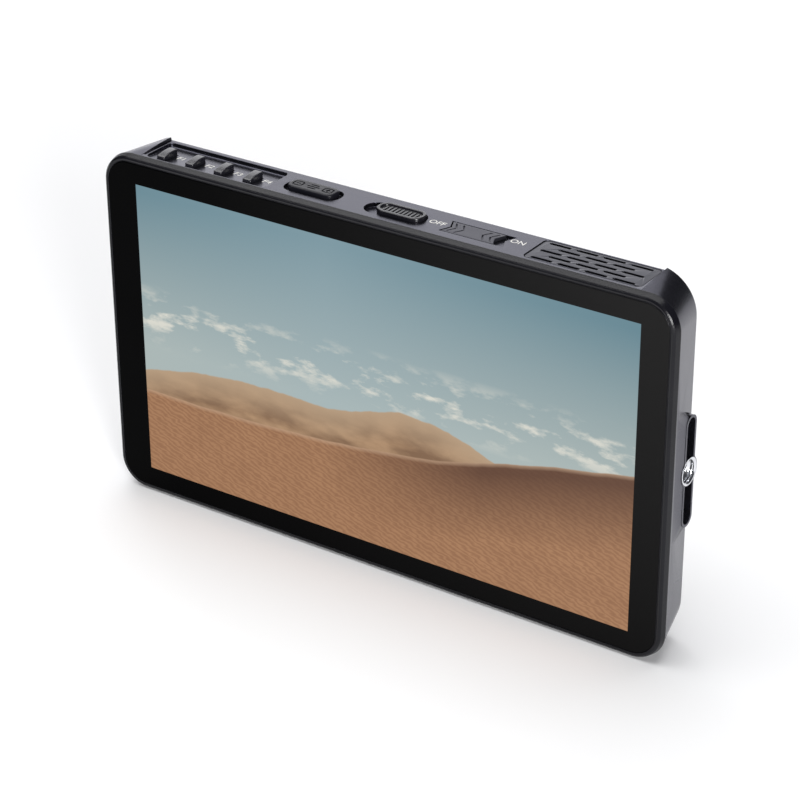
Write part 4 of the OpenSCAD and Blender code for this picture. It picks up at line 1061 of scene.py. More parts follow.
@dataclass
class Housing:
    """The metal tub: outer walls with drafts and raised ends, a cavity, and all its openings."""

    front_y: float = 2.05
    rear_y: float = REAR_Y
    w0: float = 150.2
    w1: float = 145.8
    h0: float = 87.8
    h1: float = 88.7
    r0: float = 7.25
    r1: float = 9.8
    land: float = 0.15
    wall: float = 1.7
    cavity_y: float = 11.9
    step_x: float = 65.3
    step_w: float = 0.22
    step_points: int = 7
    front_edge: float = 0.12
    rear_edge: float = 0.18
    mount_y: float = 9.85
    mount_z: float = MID_Z + 0.5
    pad_x: float = 74.9
    pad_soft: float = 0.07
    pad_ramp: float = 3.8
    pad_flare: float = 0.3
    pad_size: Point = (27.2, 4.6, 3.5)
    seat_size: Point = (25.9, 3.3, 3.3)
    seat_d: float = 2.4
    bore_r: float = 3.0
    side_sleeve_r: float = 3.5
    side_sleeve_x: Place = (68.4, 71.8)
    foot_y: float = 9.6
    foot_r: float = 3.3
    foot_sleeve_r: float = 4.4
    foot_sleeve_z: Place = (5.4, 2.4)
    sleeve_end_t: float = 0.2
    screw_head_r: float = 2.2
    screw_hole_r: float = 1.2
    screw_seat_d: float = 1.4
    screw_edge: float = 0.12
    arc: int = 14
    window: Oblong = Oblong(99, 52.4, 3, 0, MID_Z)
    pocket: Oblong = Oblong(33.9, 9.75, 1.4, -47.45, 2.45 + 9.75 / 2)
    pocket_d: float = 1.1
    pocket_front: float = 0.45
    groove: Oblong = Oblong(0.46, 10.0, 0.1, -65.03, 3.0 + 5.0, 3)
    groove_d: float = 0.9
    groove_rear: float = 0.25
    wells: tuple[Well, ...] = (
        Well(Oblong(14.8, 5.9, 2.6, -20.3, 7.2), 1.0, Oblong(12.2, 2.7, 0.3, -20.3, 7.2, 3)),
        Well(Oblong(15.7, 6.0, 2.99, 1.8, 7.1, 12), 1.0, Oblong(6.6, 1.8, 0.3, 1.8, 7.1, 3)),
        Well(notched_bar(16.2, 5.7, 22.7), 0.9, Oblong(5.8, 1.8, 0.3, 22.7, 7.4, 3)),
        Well(Oblong(28.4, 10.1, 1.2, 50.7, 7.95), 1.2, Oblong(26.8, 7.5, 0.5, 50.7, 7.55, 3)))

    def share(self, depth: float | np.ndarray) -> float | np.ndarray:
        """How far along the draft a depth lies, from 0 at the front to 1 at the back."""
        span = self.rear_y - self.front_y - 2 * self.land
        return np.clip((depth - self.front_y - self.land) / span, 0, 1)

    def outer_loop(self, depth: float, inset: float) -> np.ndarray:
        """The housing's outline at a depth.

        Two lower quarter circles, and two upper ones that end where the raised ends step
        down to the key strip; each step is a smooth S, 3u^2 - 2u^3, of fixed width.

        Args:
            depth: The depth.
            inset: How far the outline lies inside the wall there.

        Returns:
            The points, counterclockwise from the lower right corner.
        """
        t = self.share(depth)
        w, h, r = (a + (b - a) * t for a, b in ((self.w0, self.w1), (self.h0, self.h1), (self.r0, self.r1)))
        cx = w / 2 - r
        end = math.acos(min(max((self.step_x + self.step_w - cx) / r, 0.0), 1.0))
        rise = np.linspace(0, end, self.arc + 1)
        right_top = np.stack([cx + (r - inset) * np.cos(rise), h - r + (r - inset) * np.sin(rise)], 1)
        u = np.linspace(1, 0, self.step_points)
        high, low = h - r + r * math.sin(end) - inset, STRIP_Z - inset
        step = np.stack([self.step_x + self.step_w * u, low + (high - low) * u * u * (3 - 2 * u)], 1)
        turn = np.linspace(-np.pi / 2, 0, self.arc + 1)
        right_low = np.stack([cx + (r - inset) * np.cos(turn), r + (r - inset) * np.sin(turn)], 1)
        half = np.concatenate([right_low, right_top, step])
        return np.concatenate([half, half[::-1] * [-1, 1]])

    def side_x(self, loop: np.ndarray) -> np.ndarray:
        """The drafted side wall's distance from the middle, by depth."""
        return (self.w0 + (self.w1 - self.w0) * self.share(loop[:, 0])) / 2

    def cavity_loop(self, depth: float) -> np.ndarray:
        """The cavity's outline: it narrows evenly with the depth, and its corners grow.

        Args:
            depth: The depth.

        Returns:
            The points.
        """
        t = min(max((depth - self.front_y) / (self.cavity_y - self.front_y), 0), 1)
        w = self.w0 + (self.w1 - self.w0) * t - 2 * self.wall
        r = self.r0 + (self.r1 - self.r0) * t - self.wall
        return Oblong(w, CEILING_Z - FLOOR_Z, r, 0, (CEILING_Z + FLOOR_Z) / 2, self.arc).loop()

    def pocket_share(self, loop: np.ndarray) -> np.ndarray:
        """The key pocket's drop, as a share, grows evenly from the front to its rear wall."""
        t = np.clip((loop[:, 1] - self.pocket.cy) / self.pocket.h + 0.5, 0.0, 1.0)
        return (self.pocket_front + (self.pocket_d - self.pocket_front) * t) / self.pocket_d

    def groove_share(self, loop: np.ndarray) -> np.ndarray:
        """The groove's drop, as a share, shrinks evenly from its front end to its rear end."""
        t = np.clip((loop[:, 1] - self.groove.cy) / self.groove.h + 0.5, 0.0, 1.0)
        return 1 + (self.groove_rear / self.groove_d - 1) * t

    def pocket_floor(self, loop: np.ndarray) -> np.ndarray:
        """Height of the key pocket's floor, by place."""
        return STRIP_Z - self.pocket_d * self.pocket_share(loop)

    def strip(self, skin: Skin, edge_points: np.ndarray) -> list[np.ndarray]:
        """The key strip with its recesses.

        Args:
            skin: The surface that it goes into.
            edge_points: The strip's rim.

        Returns:
            The rims of the holes where they come out of the cavity's ceiling.
        """
        openings, through = [], []

        def pierce(floor: np.ndarray, level: Level, holes: Sequence[Outline]) -> None:
            """A floor with holes that go down to the ceiling of the cavity.

            Args:
                floor: The floor's rim.
                level: Its level.
                holes: The holes' outlines.
            """
            walls = [skin.stepped(Facing.TOP, [(hole, 0.0, level), (hole, 0.0, CEILING_Z)]) for hole in holes]
            through.extend(under for _, under in walls)
            skin.sheet(floor, *(edge for edge, _ in walls))

        opening, floor = skin.sink(Facing.TOP, self.pocket, STRIP_Z, sunk_profile(self.pocket_d, 0.14, 0.5),
                                   self.pocket_share)
        openings.append(opening)
        pierce(floor, self.pocket_floor, [Oblong(2.6, 5.3, 0.25, x, KEY_Y, 3) for x in KEY_X])
        opening, floor = skin.sink(Facing.TOP, self.groove, STRIP_Z, sunk_profile(self.groove_d, 0.03, 0.05),
                                   self.groove_share)
        openings.append(opening)
        skin.sheet(floor)
        for well in self.wells:
            opening, floor = skin.sink(Facing.TOP, well.outline, STRIP_Z, sunk_profile(well.depth, 0.1, 0.15))
            openings.append(opening)
            pierce(floor, STRIP_Z - well.depth, [well.hole])
        skin.sheet(edge_points, *openings)
        return through

    def side(self, skin: Skin, facing: Facing, flat: np.ndarray, inner: np.ndarray) -> None:
        """One side wall with the mounting pad, the seat sunk into it, and the insert's hole.

        The pad's foot is its outline with the front half stretched forwards, so that the
        drafted wall runs into the pad there without a step.

        Args:
            skin: The surface that it goes into.
            facing: The side.
            flat: The rim of the outer wall's flat.
            inner: The rim of the inner wall's flat.
        """
        at = (self.mount_y, self.mount_z)
        pad, seat = BossedSlot(*self.pad_size, *at), BossedSlot(*self.seat_size, *at)
        bore = circle(self.bore_r, *at, 16)
        base = pad.loop()
        near = np.clip((self.mount_y - base[:, 0]) / (pad.w / 2), 0.0, 1.0)
        reach = pad.w / 2 + self.pad_ramp
        base[:, 0] = np.where(near > 0, self.mount_y - reach * near, base[:, 0])
        base[:, 1] = self.mount_z + (base[:, 1] - self.mount_z) * (1 + self.pad_flare * near)
        foot = facing.place(base, self.side_x)
        face = [facing.place(pad.loop(-a), self.pad_x - self.pad_soft + b)
                for a, b in quarter(self.pad_soft)[::-1, ::-1]]
        skin.rings([foot, *face])
        mouth, floor = skin.sink(facing, seat, self.pad_x, sunk_profile(self.seat_d, 0.04, 0.15))
        skin.sheet(face[-1], mouth)
        top, under = skin.stepped(facing, [(bore, 0.0, self.pad_x - self.seat_d),
                                           (bore, 0.0, lambda loop: self.side_x(loop) - self.wall)])
        skin.sheet(floor, top)
        skin.sheet(flat, foot)
        skin.sheet(inner, under)

    def sleeve(self, skin: Skin, facing: Facing, at: Place, radii: Place, span: Place) -> None:
        """A round sleeve inside the cavity, shut at both ends and cut flat inside the rear wall.

        Args:
            skin: The surface that it goes into.
            facing: The way that it runs.
            at: Its centre.
            radii: Its outer and inner radius.
            span: Where it ends in the cavity and where it meets the wall.
        """
        outer, inner = (circle(r, *at, 16).loop() for r in radii)
        along = 1 if facing is Facing.TOP else 0
        outer[:, along] = np.minimum(outer[:, along], self.rear_y - self.sleeve_end_t)
        low, high = span
        floor = low + self.sleeve_end_t * np.sign(high - low)
        rings = [facing.place(loop, level)
                 for loop, level in ((outer, low), (outer, high), (inner, high), (inner, floor))]
        skin.rings(rings)
        skin.cap(rings[0])
        skin.cap(rings[-1])

    def outer(self, skin: Skin) -> tuple[np.ndarray, list[np.ndarray]]:
        """The outer walls, with a small round at both ends and with open flats.

        Args:
            skin: The surface that they go into.

        Returns:
            The rings, and the rims of the right side, the key strip, the left side and the foot.
        """
        front = [(self.front_y + b, a) for a, b in quarter(self.front_edge)]
        depths = np.linspace(self.front_y + self.land, self.rear_y - self.rear_edge, 9)
        middle = [(float(d), 0.0) for d in depths]
        rear = [(self.rear_y - b, a) for a, b in quarter(self.rear_edge, 5)[::-1]][1:]
        rings = np.stack([Facing.BACK.place(self.outer_loop(d, inset), d)
                          for d, inset in front + middle + rear])
        corner, half = self.arc + 1, 2 * (self.arc + 1) + self.step_points
        flats = (corner - 1, half - 1, 2 * half - corner - 1, 2 * half - 1)
        first, last = len(front), len(front) + len(middle) - 1
        skin.rings(rings, flats, slice(first, last))
        return rings, [rim(rings[first:last + 1], segment) for segment in flats]

    def hollow(self, skin: Skin) -> tuple[np.ndarray, list[np.ndarray]]:
        """The cavity's walls, with open flats.

        Args:
            skin: The surface that they go into.

        Returns:
            The rings, and the rims of the ceiling, the left side, the floor and the right side.
        """
        depths = np.linspace(self.front_y, self.cavity_y, 5)
        rings = np.stack([Facing.BACK.place(self.cavity_loop(d), d) for d in depths])
        flats = [k * (self.arc + 1) - 1 for k in (1, 2, 3, 4)]
        skin.rings(rings, flats)
        return rings, [rim(rings, segment) for segment in flats]

    def shell(self) -> Skin:
        """Outer walls, cavity and all openings as one closed surface.

        Returns:
            The surface.
        """
        skin = Skin()
        outer, (right, strip, left, foot) = self.outer(skin)
        hollow, (ceiling, left_wall, floor, right_wall) = self.hollow(skin)
        skin.sheet(ceiling, *self.strip(skin, strip))
        self.side(skin, Facing.RIGHT, right, right_wall)
        self.side(skin, Facing.LEFT, left, left_wall)
        socket = circle(self.foot_r, 0, self.foot_y, 16)
        mouth, high = skin.stepped(Facing.TOP, [(socket, 0.1, 0.0), (socket, 0.0, 0.1),
                                                (socket, 0.0, FLOOR_Z)])
        skin.sheet(foot, mouth)
        skin.sheet(floor, high)
        skin.sheet(outer[0], hollow[0])
        holes = [skin.stepped(Facing.BACK, [(self.window, 0.0, self.rear_y),
                                            (self.window, 0.0, self.cavity_y)])]
        seat = self.rear_y - self.screw_seat_d
        for x, z in four_places(*CASE_SCREWS_AT):
            head, shank = circle(self.screw_head_r, x, z), circle(self.screw_hole_r, x, z)
            holes.append(skin.stepped(Facing.BACK, [
                (head, self.screw_edge, self.rear_y), (head, 0.0, self.rear_y - self.screw_edge),
                (head, 0.0, seat), (shank, 0.0, seat), (shank, 0.0, self.cavity_y)]))
        skin.sheet(outer[-1], *(behind for behind, _ in holes))
        skin.sheet(hollow[-1], *(inside for _, inside in holes))
        for facing in (Facing.RIGHT, Facing.LEFT):
            self.sleeve(skin, facing, (self.mount_y, self.mount_z), (self.side_sleeve_r, self.bore_r),
                        self.side_sleeve_x)
        self.sleeve(skin, Facing.TOP, (0, self.foot_y), (self.foot_sleeve_r, self.foot_r),
                    self.foot_sleeve_z)
        return skin

    def build(self, dresser: Dresser) -> None:
        """Makes and dresses the housing."""
        dresser.dress(self.shell().build("rear_housing_skin"), "housing_metal", BODY, "rear_housing")


@dataclass
class Grille:
    """The plate with staggered slots that drops into the key strip."""

    outline: Oblong = Oblong(28.2, 10.02, 1.12, 50.75, 7.96)
    slots_at: Place = (50.7, 7.75)
    slot_l: float = 5.2
    slot_w: float = 0.8
    pitch: float = 6.6
    row_pitch: float = 1.98
    row_counts: tuple[int, ...] = (4, 3, 4, 3, 4)
    thickness: float = 1.2
    edge: float = 0.12

    def build(self, dresser: Dresser) -> None:
        """A rounded plate; each slot's wall goes from the top sheet to the lower one.

        Args:
            dresser: What dresses it.
        """
        skin = Skin()
        bottom, brim = STRIP_Z - self.thickness, STRIP_Z - self.edge
        under, face = skin.stepped(Facing.TOP, [
            (self.outline, 0.0, bottom), (self.outline, 0.0, brim),
            *((self.outline, -float(a), brim + float(b)) for b, a in quarter(self.edge))])
        tops, lows = [], []
        for row, count in enumerate(self.row_counts):
            y = self.slots_at[1] + (row - (len(self.row_counts) - 1) / 2) * self.row_pitch
            for i in range(count):
                x = self.slots_at[0] + (i - (count - 1) / 2) * self.pitch
                slot = Oblong(self.slot_l, self.slot_w, self.slot_w / 2 - 0.001, x, y, 5)
                top, low = skin.stepped(Facing.TOP, [(slot, 0.08, STRIP_Z), (slot, 0.02, STRIP_Z - 0.025),
                                                     (slot, 0.0, STRIP_Z - 0.09), (slot, 0.0, bottom)])
                tops.append(top)
                lows.append(low)
        skin.sheet(face, *tops)
        skin.sheet(under, *lows)
        dresser.dress(skin.build("vent_grille_plate"), "grille_metal", BODY, "vent_grille")


@dataclass
class FunctionKey:
    """A narrow key whose top is crowned from front to back, on a flange with a plunger."""

    number: int
    w: float = 2.3
    length: float = 5.0
    rise: float = 0.85
    crown: float = 0.5
    lean: float = 1.2
    soft: float = 0.3
    flange_gap: float = 0.15
    flange_t: float = 0.8
    plunger: Point = (1.6, 1.4, 7.6)
    plunger_foot_z: float = 83.5

    def top(self, loop: np.ndarray) -> np.ndarray:
        """The crown: a circle's arc along the depth, highest behind the key's middle.

        Args:
            loop: The places.

        Returns:
            The height at each.
        """
        reach = self.length / 2 + self.lean
        r = (reach**2 + self.crown**2) / (2 * self.crown)
        away = np.clip(loop[:, 1] - KEY_Y - self.lean, -reach, reach)
        return STRIP_Z + self.rise - r + np.sqrt(r * r - away**2)

    def build(self, dresser: Dresser) -> None:
        """Rings that climb the sides, round the edge and close in on the crown's ridge.

        Args:
            dresser: What dresses it.
        """
        x = KEY_X[self.number - 1]
        cap = Oblong(self.w, self.length, 0.35, x, KEY_Y, 5)
        flange_top = CEILING_Z - self.flange_gap
        skin = Skin()
        inward = [(float(b), float(a)) for a, b in quarter(self.soft, 5)]
        inward += [(0.55, 0.0), (0.8, 0.0), (1.1, 0.0)]
        rings = [Facing.TOP.place(divided(cap.loop(), 8), flange_top - 0.4)]
        rings += [Facing.TOP.place(divided(cap.loop(-grow), 8), lambda loop, drop=drop: self.top(loop) - drop)
                  for grow, drop in inward]
        skin.rings(rings)
        skin.cap(rings[0])
        skin.sheet(rings[-1])
        flange = Oblong(self.w + 1.0, self.length + 0.4, 0.2, x, KEY_Y + 0.2, 3)
        skin.block(flange, flange_top - self.flange_t, flange_top)
        plunger_w, plunger_l, plunger_y = self.plunger
        skin.block(Oblong(plunger_w, plunger_l, 0.15, x, plunger_y, 3), self.plunger_foot_z,
                   flange_top - self.flange_t + 0.1)
        dresser.dress(skin.build(f"function_key_{self.number}_cap"), "key_plastic",
                      f"function_key_{self.number}_body", f"function_key_{self.number}")


@dataclass
class Rocker:
    """The two-way button, with a minus, a plus and bars sunk into its face."""

    x: float = -20.3
    y: float = 7.2
    w: float = 12.6
    h: float = 4.7
    rise: float = 0.9
    soft: float = 0.5
    mark_depth: float = 0.22
    mark_x: float = 4.0
    stroke: float = 0.32
    bars: tuple[float, ...] = (2.2, 3.4, 2.2)
    bar_pitch: float = 0.85

    def mark(self, skin: Skin, outline: Outline, top: float) -> np.ndarray:
        """A shallow recess in the face.

        Args:
            skin: The surface that it goes into.
            outline: The mark's outline.
            top: The face's height.

        Returns:
            Its edge on the face.
        """
        opening, floor = skin.sink(Facing.TOP, outline, top, sunk_profile(self.mark_depth, 0.03, 0.02))
        skin.sheet(floor)
        return opening

    def framed(self, skin: Skin, side: int, mark: Outline, top: float) -> np.ndarray:
        """A mark inside a ring-shaped groove.

        Args:
            skin: The surface that it goes into.
            side: -1 for the left end, 1 for the right.
            mark: The mark's outline.
            top: The face's height.

        Returns:
            The ring's outer edge on the face.
        """
        ring = Oblong(2.7, 2.3, 0.8, self.x + side * self.mark_x, self.y, 6)
        low, brim, wide = top - self.mark_depth, top - 0.03, self.stroke
        outer, inner = skin.stepped(Facing.TOP, [
            (ring, 0.03, top), (ring, 0.0, brim), (ring, 0.0, low), (ring, -wide, low), (ring, -wide, brim),
            (ring, -wide - 0.03, top)])
        skin.sheet(inner, self.mark(skin, mark, top))
        return outer

    def build(self, dresser: Dresser) -> None:
        """A rounded bar whose top sheet has the marks as shallow recesses.

        Args:
            dresser: What dresses it.
        """
        skin = Skin()
        top = STRIP_Z + self.rise
        outline = Oblong(self.w, self.h, 1.9, self.x, self.y, 10)
        foot, face = skin.stepped(Facing.TOP, [
            (outline, 0.0, STRIP_Z - 0.5),
            *((outline, -float(b), top - float(a)) for a, b in quarter(self.soft, 6))])
        skin.cap(foot)
        minus = Oblong(1.2, 0.34, 0.16, self.x - self.mark_x, self.y, 4)
        openings = [self.framed(skin, -1, minus, top),
                    self.framed(skin, 1, plus(0.62, 0.17, self.x + self.mark_x, self.y), top)]
        for i, wide in enumerate(self.bars):
            bar = Oblong(wide, 0.4, 0.19, self.x, self.y + (i - 1) * self.bar_pitch, 4)
            openings.append(self.mark(skin, bar, top))
        skin.sheet(face, *openings)
        for w, at, low, high in ((self.w - 1, 0.0, 85.25, STRIP_Z - 0.4), (1.6, -4.6, 83.5, 85.4),
                                 (1.6, 4.6, 83.5, 85.4), (2.6, 0.0, 84.95, 85.4)):
            skin.block(Oblong(w, 2.1, 0.2, self.x + at, self.y, 3), low, high)
        dresser.dress(skin.build("rocker_button_cap"), "button_plastic", "rocker_button_body",
                      "rocker_button")


def slide_stem(skin: Skin, x: float, y: float, top: float) -> None:
    """A slide's stem down to its switch, with the plate that keeps it under the ceiling."""
    skin.block(Oblong(3, 1.5, 0.2, x, y, 3), STEM_FOOT_Z, top)
    skin.block(Oblong(6, 3.6, 0.3, x, y, 3), *KEEPER_Z)


@dataclass
class ThumbSlide:
    """An oval slide with a rim and a dished, ribbed face."""

    x: float = 3.3
    y: float = 7.1
    w: float = 12.1
    h: float = 5.0
    rise: float = 0.9
    dish: float = 0.46
    ribs: int = 9

    def build(self, dresser: Dresser) -> None:
        """Outer wall, rounded rim, inner wall and floor as one profile; ribs stand on the floor.

        Args:
            dresser: What dresses it.
        """
        skin = Skin()
        top = STRIP_Z + self.rise
        outline = Oblong(self.w, self.h, self.h / 2 - 0.005, self.x, self.y, 14)
        profile = [(0.0, STRIP_Z - 0.95), (0.0, top - 0.28)]
        profile += [(-float(b), top - float(a)) for a, b in quarter(0.28, 5)[1:]]
        profile += [(-0.62, top), (-0.74, top - 0.04), (-0.82, top - 0.14), (-0.86, top - 0.34),
                    (-0.94, top - 0.43), (-1.1, top - self.dish)]
        skin.sweep(Facing.TOP, outline, profile)
        face, outermost = top - self.dish, self.ribs // 2
        for i in range(-outermost, outermost + 1):
            rib = Oblong(0.5, 2.75 if abs(i) < outermost else 2.1, 0.24, self.x + i * 1.0, self.y, 5)
            skin.sweep(Facing.TOP, rib, [(0, face - 0.05), (0, face + 0.12), (-0.03, face + 0.17),
                                         (-0.1, face + 0.19)])
        slide_stem(skin, self.x, self.y, STRIP_Z - 0.9)
        dresser.dress(skin.build("thumb_slide_cap"), "slide_plastic", "thumb_slide_body", "thumb_slide")


@dataclass
class PowerSlide:
    """A flush slide with notched ends and pairs of arrow grooves."""

    x: float = 21.6
    y: float = 7.4
    length: float = 13.4
    w: float = 5.4
    arrow_lean: float = 1.2
    arrow_w: float = 0.36
    arrows_at: tuple[float, ...] = (4.1, 2.2)

    def arrow(self, at: float, s: int) -> Corners:
        """A bent groove that points towards the middle.

        Args:
            at: Its place along the slide.
            s: -1 where it leans to the left, 1 to the right.

        Returns:
            Its outline.
        """
        reach, lean, wide = self.w / 2 - 0.6, self.arrow_lean, self.arrow_w
        points = [(0, 0), (s * lean, reach), (s * (lean + wide), reach), (s * wide, 0),
                  (s * (lean + wide), -reach), (s * lean, -reach)][::-s]
        return Corners(tuple((self.x + at + p, self.y + q) for p, q in points))

    def build(self, dresser: Dresser) -> None:
        """A plate with a chamfered edge; its top sheet has the arrows as grooves.

        Args:
            dresser: What dresses it.
        """
        skin = Skin()
        top = STRIP_Z - 0.02
        outline = notched_bar(self.length, self.w, self.x, self.y)
        foot, face = skin.stepped(Facing.TOP, [(outline, 0.0, STRIP_Z - 0.85), (outline, 0.0, top - 0.14),
                                               (outline, -0.05, top - 0.03), (outline, -0.14, top)])
        skin.sheet(foot)
        openings = []
        for s in (-1, 1):
            for at in self.arrows_at:
                opening, floor = skin.sink(Facing.TOP, self.arrow(s * at, s), top,
                                           [(0.04, 0.0), (0.0, 0.06), (-0.03, 0.26)])
                openings.append(opening)
                skin.sheet(floor)
        skin.sheet(face, *openings)
        slide_stem(skin, self.x, self.y, STRIP_Z - 0.8)
        dresser.dress(skin.build("power_slide_plate"), "power_plastic", "power_slide_body", "power_slide")


@dataclass
class Insert:
    """A plated insert with a real thread in its bore."""

    name: str
    node: str
    facing: Facing
    at: Place
    span: Place
    outer_r: float = 3.28
    core_r: float = 2.55
    thread_d: float = 0.52
    pitch: float = 1.27
    mouth_l: float = 0.32
    around: int = 72
    along: int = 90

    def build(self, dresser: Dresser) -> None:
        """Radius by angle and length: a triangle wave that climbs by the pitch each turn.

        Args:
            dresser: What dresses it.
        """
        inner_end, mouth = self.span
        length = abs(mouth - inner_end)
        turn = np.linspace(0, 2 * np.pi, self.around, endpoint=False)
        along = np.linspace(0.05, length - self.mouth_l, self.along)
        wave = np.abs(((along[:, None] / self.pitch - turn[None, :] / (2 * np.pi)) % 1) * 2 - 1)
        fade = np.clip(np.minimum(along, length - self.mouth_l - along) / 0.4, 0, 1)[:, None]
        thread = self.core_r + self.thread_d * wave * fade

        def ring(r: np.ndarray | float, at: float) -> np.ndarray:
            """One ring of the surface.

            Args:
                r: Its radius, all round or at each angle.
                at: Its distance from the inner end.

            Returns:
                The points.
            """
            loop = np.stack([self.at[0] + r * np.cos(turn), self.at[1] + r * np.sin(turn)], 1)
            return self.facing.place(loop, inner_end + math.copysign(at, mouth - inner_end))

        rings = [ring(self.core_r, 0.0)] + [ring(r, a) for r, a in zip(thread, along)]
        for radius, flare in ((self.core_r, ((0.02, 0.3), (0.3, 0.08), (0.42, 0.02), (0.5, 0.0))),
                              (self.outer_r, ((-0.1, 0.0), (-0.03, 0.03), (0.0, 0.1), (0.0, length)))):
            rings += [ring(radius + more, length - back) for more, back in flare]
        skin = Skin()
        skin.rings(rings, closed=True)
        dresser.dress(skin.build(self.name), "chrome", BODY, self.node)


@dataclass
class BackCover:
    """The raised back: outer walls, battery recess, cooling slots and socket openings."""

    y0: float = REAR_Y
    y1: float = 22.5
    w: float = 112.0
    h: float = 66.0
    r: float = 7.0
    draft: float = 1.6
    wall: float = 1.5
    edge: float = 0.9
    inner_edge: float = 0.4
    arc: int = 10
    bay: Oblong = Oblong(40.4, 57.0, 0.6, 0, 44.45, 4)
    bay_floor: float = 17.9
    bay_back: float = 16.7
    latch_hole: Oblong = Oblong(8.3, 5.8, 0.3, 0, 66.7, 3)
    board_y: float = 15.05
    screw_seat_d: float = 1.45
    slot_l: float = 18.0
    slot_w: float = 1.6
    slot_x: float = 37.0
    slot_pitch: float = 5.0
    slot_rows: int = 7
    screw_head_r: float = 2.3
    screw_hole_r: float = 1.2
    screw_edge: float = 0.15
    # Each socket's height over the middle, its length and its thickness.
    left_sockets: tuple[Point, ...] = ((12, 15, 5.8), (-10, 15, 5.8))
    right_sockets: tuple[Point, ...] = ((-14, 9, 3.3), (10, 6, 5.6))

    def walls(self, skin: Skin, inset: float, end: float, edge: float) -> tuple[np.ndarray, list[np.ndarray]]:
        """The drafted wall and its rounded end: its outline is blended evenly from foot to far end.

        Args:
            skin: The surface that it goes into.
            inset: How far it lies inside the outer wall.
            end: The depth where it ends.
            edge: The radius of the round there.

        Returns:
            The rings, and the rims of the open flats on the right and on the left.
        """
        base = Oblong(self.w, self.h, self.r, 0, MID_Z, self.arc)
        far = Oblong(self.w - 2 * self.draft, self.h - 2 * self.draft, self.r - self.draft / 2, 0, MID_Z,
                     self.arc)
        stations = [(d, 0.0) for d in self.y0 + (end - edge - self.y0) * np.linspace(0, 1, 5)]
        last = len(stations) - 1
        stations += [(end - b, a) for a, b in quarter(edge, 6)[::-1][1:]]
        rings = []
        for d, a in stations:
            t = (d - self.y0) / (self.y1 - self.y0)
            loop = base.loop(-inset - a) * (1 - t) + far.loop(-inset - a) * t
            rings.append(Facing.BACK.place(loop, d))
        rings = np.stack(rings)
        flats = [k * (self.arc + 1) - 1 for k in (4, 2)]
        skin.rings(rings, flats, slice(0, last))
        return rings, [rim(rings[:last + 1], segment) for segment in flats]

    def side_x(self, inset: float) -> Callable[[np.ndarray], np.ndarray]:
        """The drafted side's distance from the middle, as a function of the outline's depths."""
        return lambda loop: self.w / 2 - inset - self.draft * (loop[:, 0] - self.y0) / (self.y1 - self.y0)

    def sockets(self, skin: Skin, facing: Facing, outer: np.ndarray, inner: np.ndarray) -> None:
        """One side's flats with the openings for its sockets.

        Args:
            skin: The surface that they go into.
            facing: The side.
            outer: The rim of the outer flat.
            inner: The rim of the inner flat.
        """
        outside, inside = self.side_x(0.0), self.side_x(self.wall)
        holes = []
        for rise, length, height in self.right_sockets if facing is Facing.RIGHT else self.left_sockets:
            hole = Oblong(height + 0.2, length + 0.2, 0.35, self.board_y + height / 2, MID_Z + rise, 3)
            holes.append(skin.stepped(facing, [
                (hole, 0.1, outside), (hole, 0.0, lambda loop: outside(loop) - 0.1), (hole, 0.0, inside)]))
        skin.sheet(outer, *(mouth for mouth, _ in holes))
        skin.sheet(inner, *(end for _, end in holes))

    def recess(self, skin: Skin) -> tuple[np.ndarray, np.ndarray]:
        """The battery recess with the latch's hole in its floor, and the box around it inside.

        Args:
            skin: The surface that it goes into.

        Returns:
            Its edge on the outer face and on the inner one.
        """
        mouth, floor = skin.sink(Facing.BACK, self.bay, self.y1,
                                 sunk_profile(self.y1 - self.bay_floor, 0.2, 0.25))
        top, under = skin.stepped(Facing.BACK, [(self.latch_hole, 0.0, self.bay_floor),
                                                (self.latch_hole, 0.0, self.bay_back)])
        skin.sheet(floor, top)
        back, brim = skin.stepped(Facing.BACK, [(self.bay, self.wall, self.bay_back),
                                                (self.bay, self.wall, self.y1 - self.wall)])
        skin.sheet(back, under)
        return mouth, brim

    def shell(self) -> Skin:
        """Outer and inner walls as one closed surface.

        Returns:
            The surface.
        """
        skin = Skin()
        outer, outer_flats = self.walls(skin, 0.0, self.y1, self.edge)
        inner, inner_flats = self.walls(skin, self.wall, self.y1 - self.wall, self.inner_edge)
        for facing, out, within in zip((Facing.RIGHT, Facing.LEFT), outer_flats, inner_flats):
            self.sockets(skin, facing, out, within)
        skin.rings([outer[0], inner[0]])
        face, back, seat = self.y1, self.y1 - self.wall, self.y1 - self.screw_seat_d
        holes = [self.recess(skin)]
        for s in (-1, 1):
            for i in range(self.slot_rows):
                slot = Oblong(self.slot_l, self.slot_w, self.slot_w / 2 - 0.01, s * self.slot_x,
                              MID_Z + (i - self.slot_rows // 2) * self.slot_pitch, 6)
                holes.append(skin.stepped(Facing.BACK, [(slot, 0.3, face), (slot, 0.1, face - 0.06),
                                                        (slot, 0.0, face - 0.3), (slot, 0.0, back)]))
        for x, z in four_places(*BACK_SCREWS_AT):
            head, shank = circle(self.screw_head_r, x, z), circle(self.screw_hole_r, x, z)
            holes.append(skin.stepped(Facing.BACK, [
                (head, self.screw_edge, face), (head, 0.0, face - self.screw_edge), (head, 0.0, seat),
                (shank, 0.0, seat), (shank, 0.0, back)]))
        skin.sheet(outer[-1], *(far for far, _ in holes))
        skin.sheet(inner[-1], *(near for _, near in holes))
        return skin

    def build(self, dresser: Dresser) -> None:
        """Makes and dresses the raised back."""
        dresser.dress(self.shell().build("back_cover_skin"), "back_plastic", BODY, "back_cover")


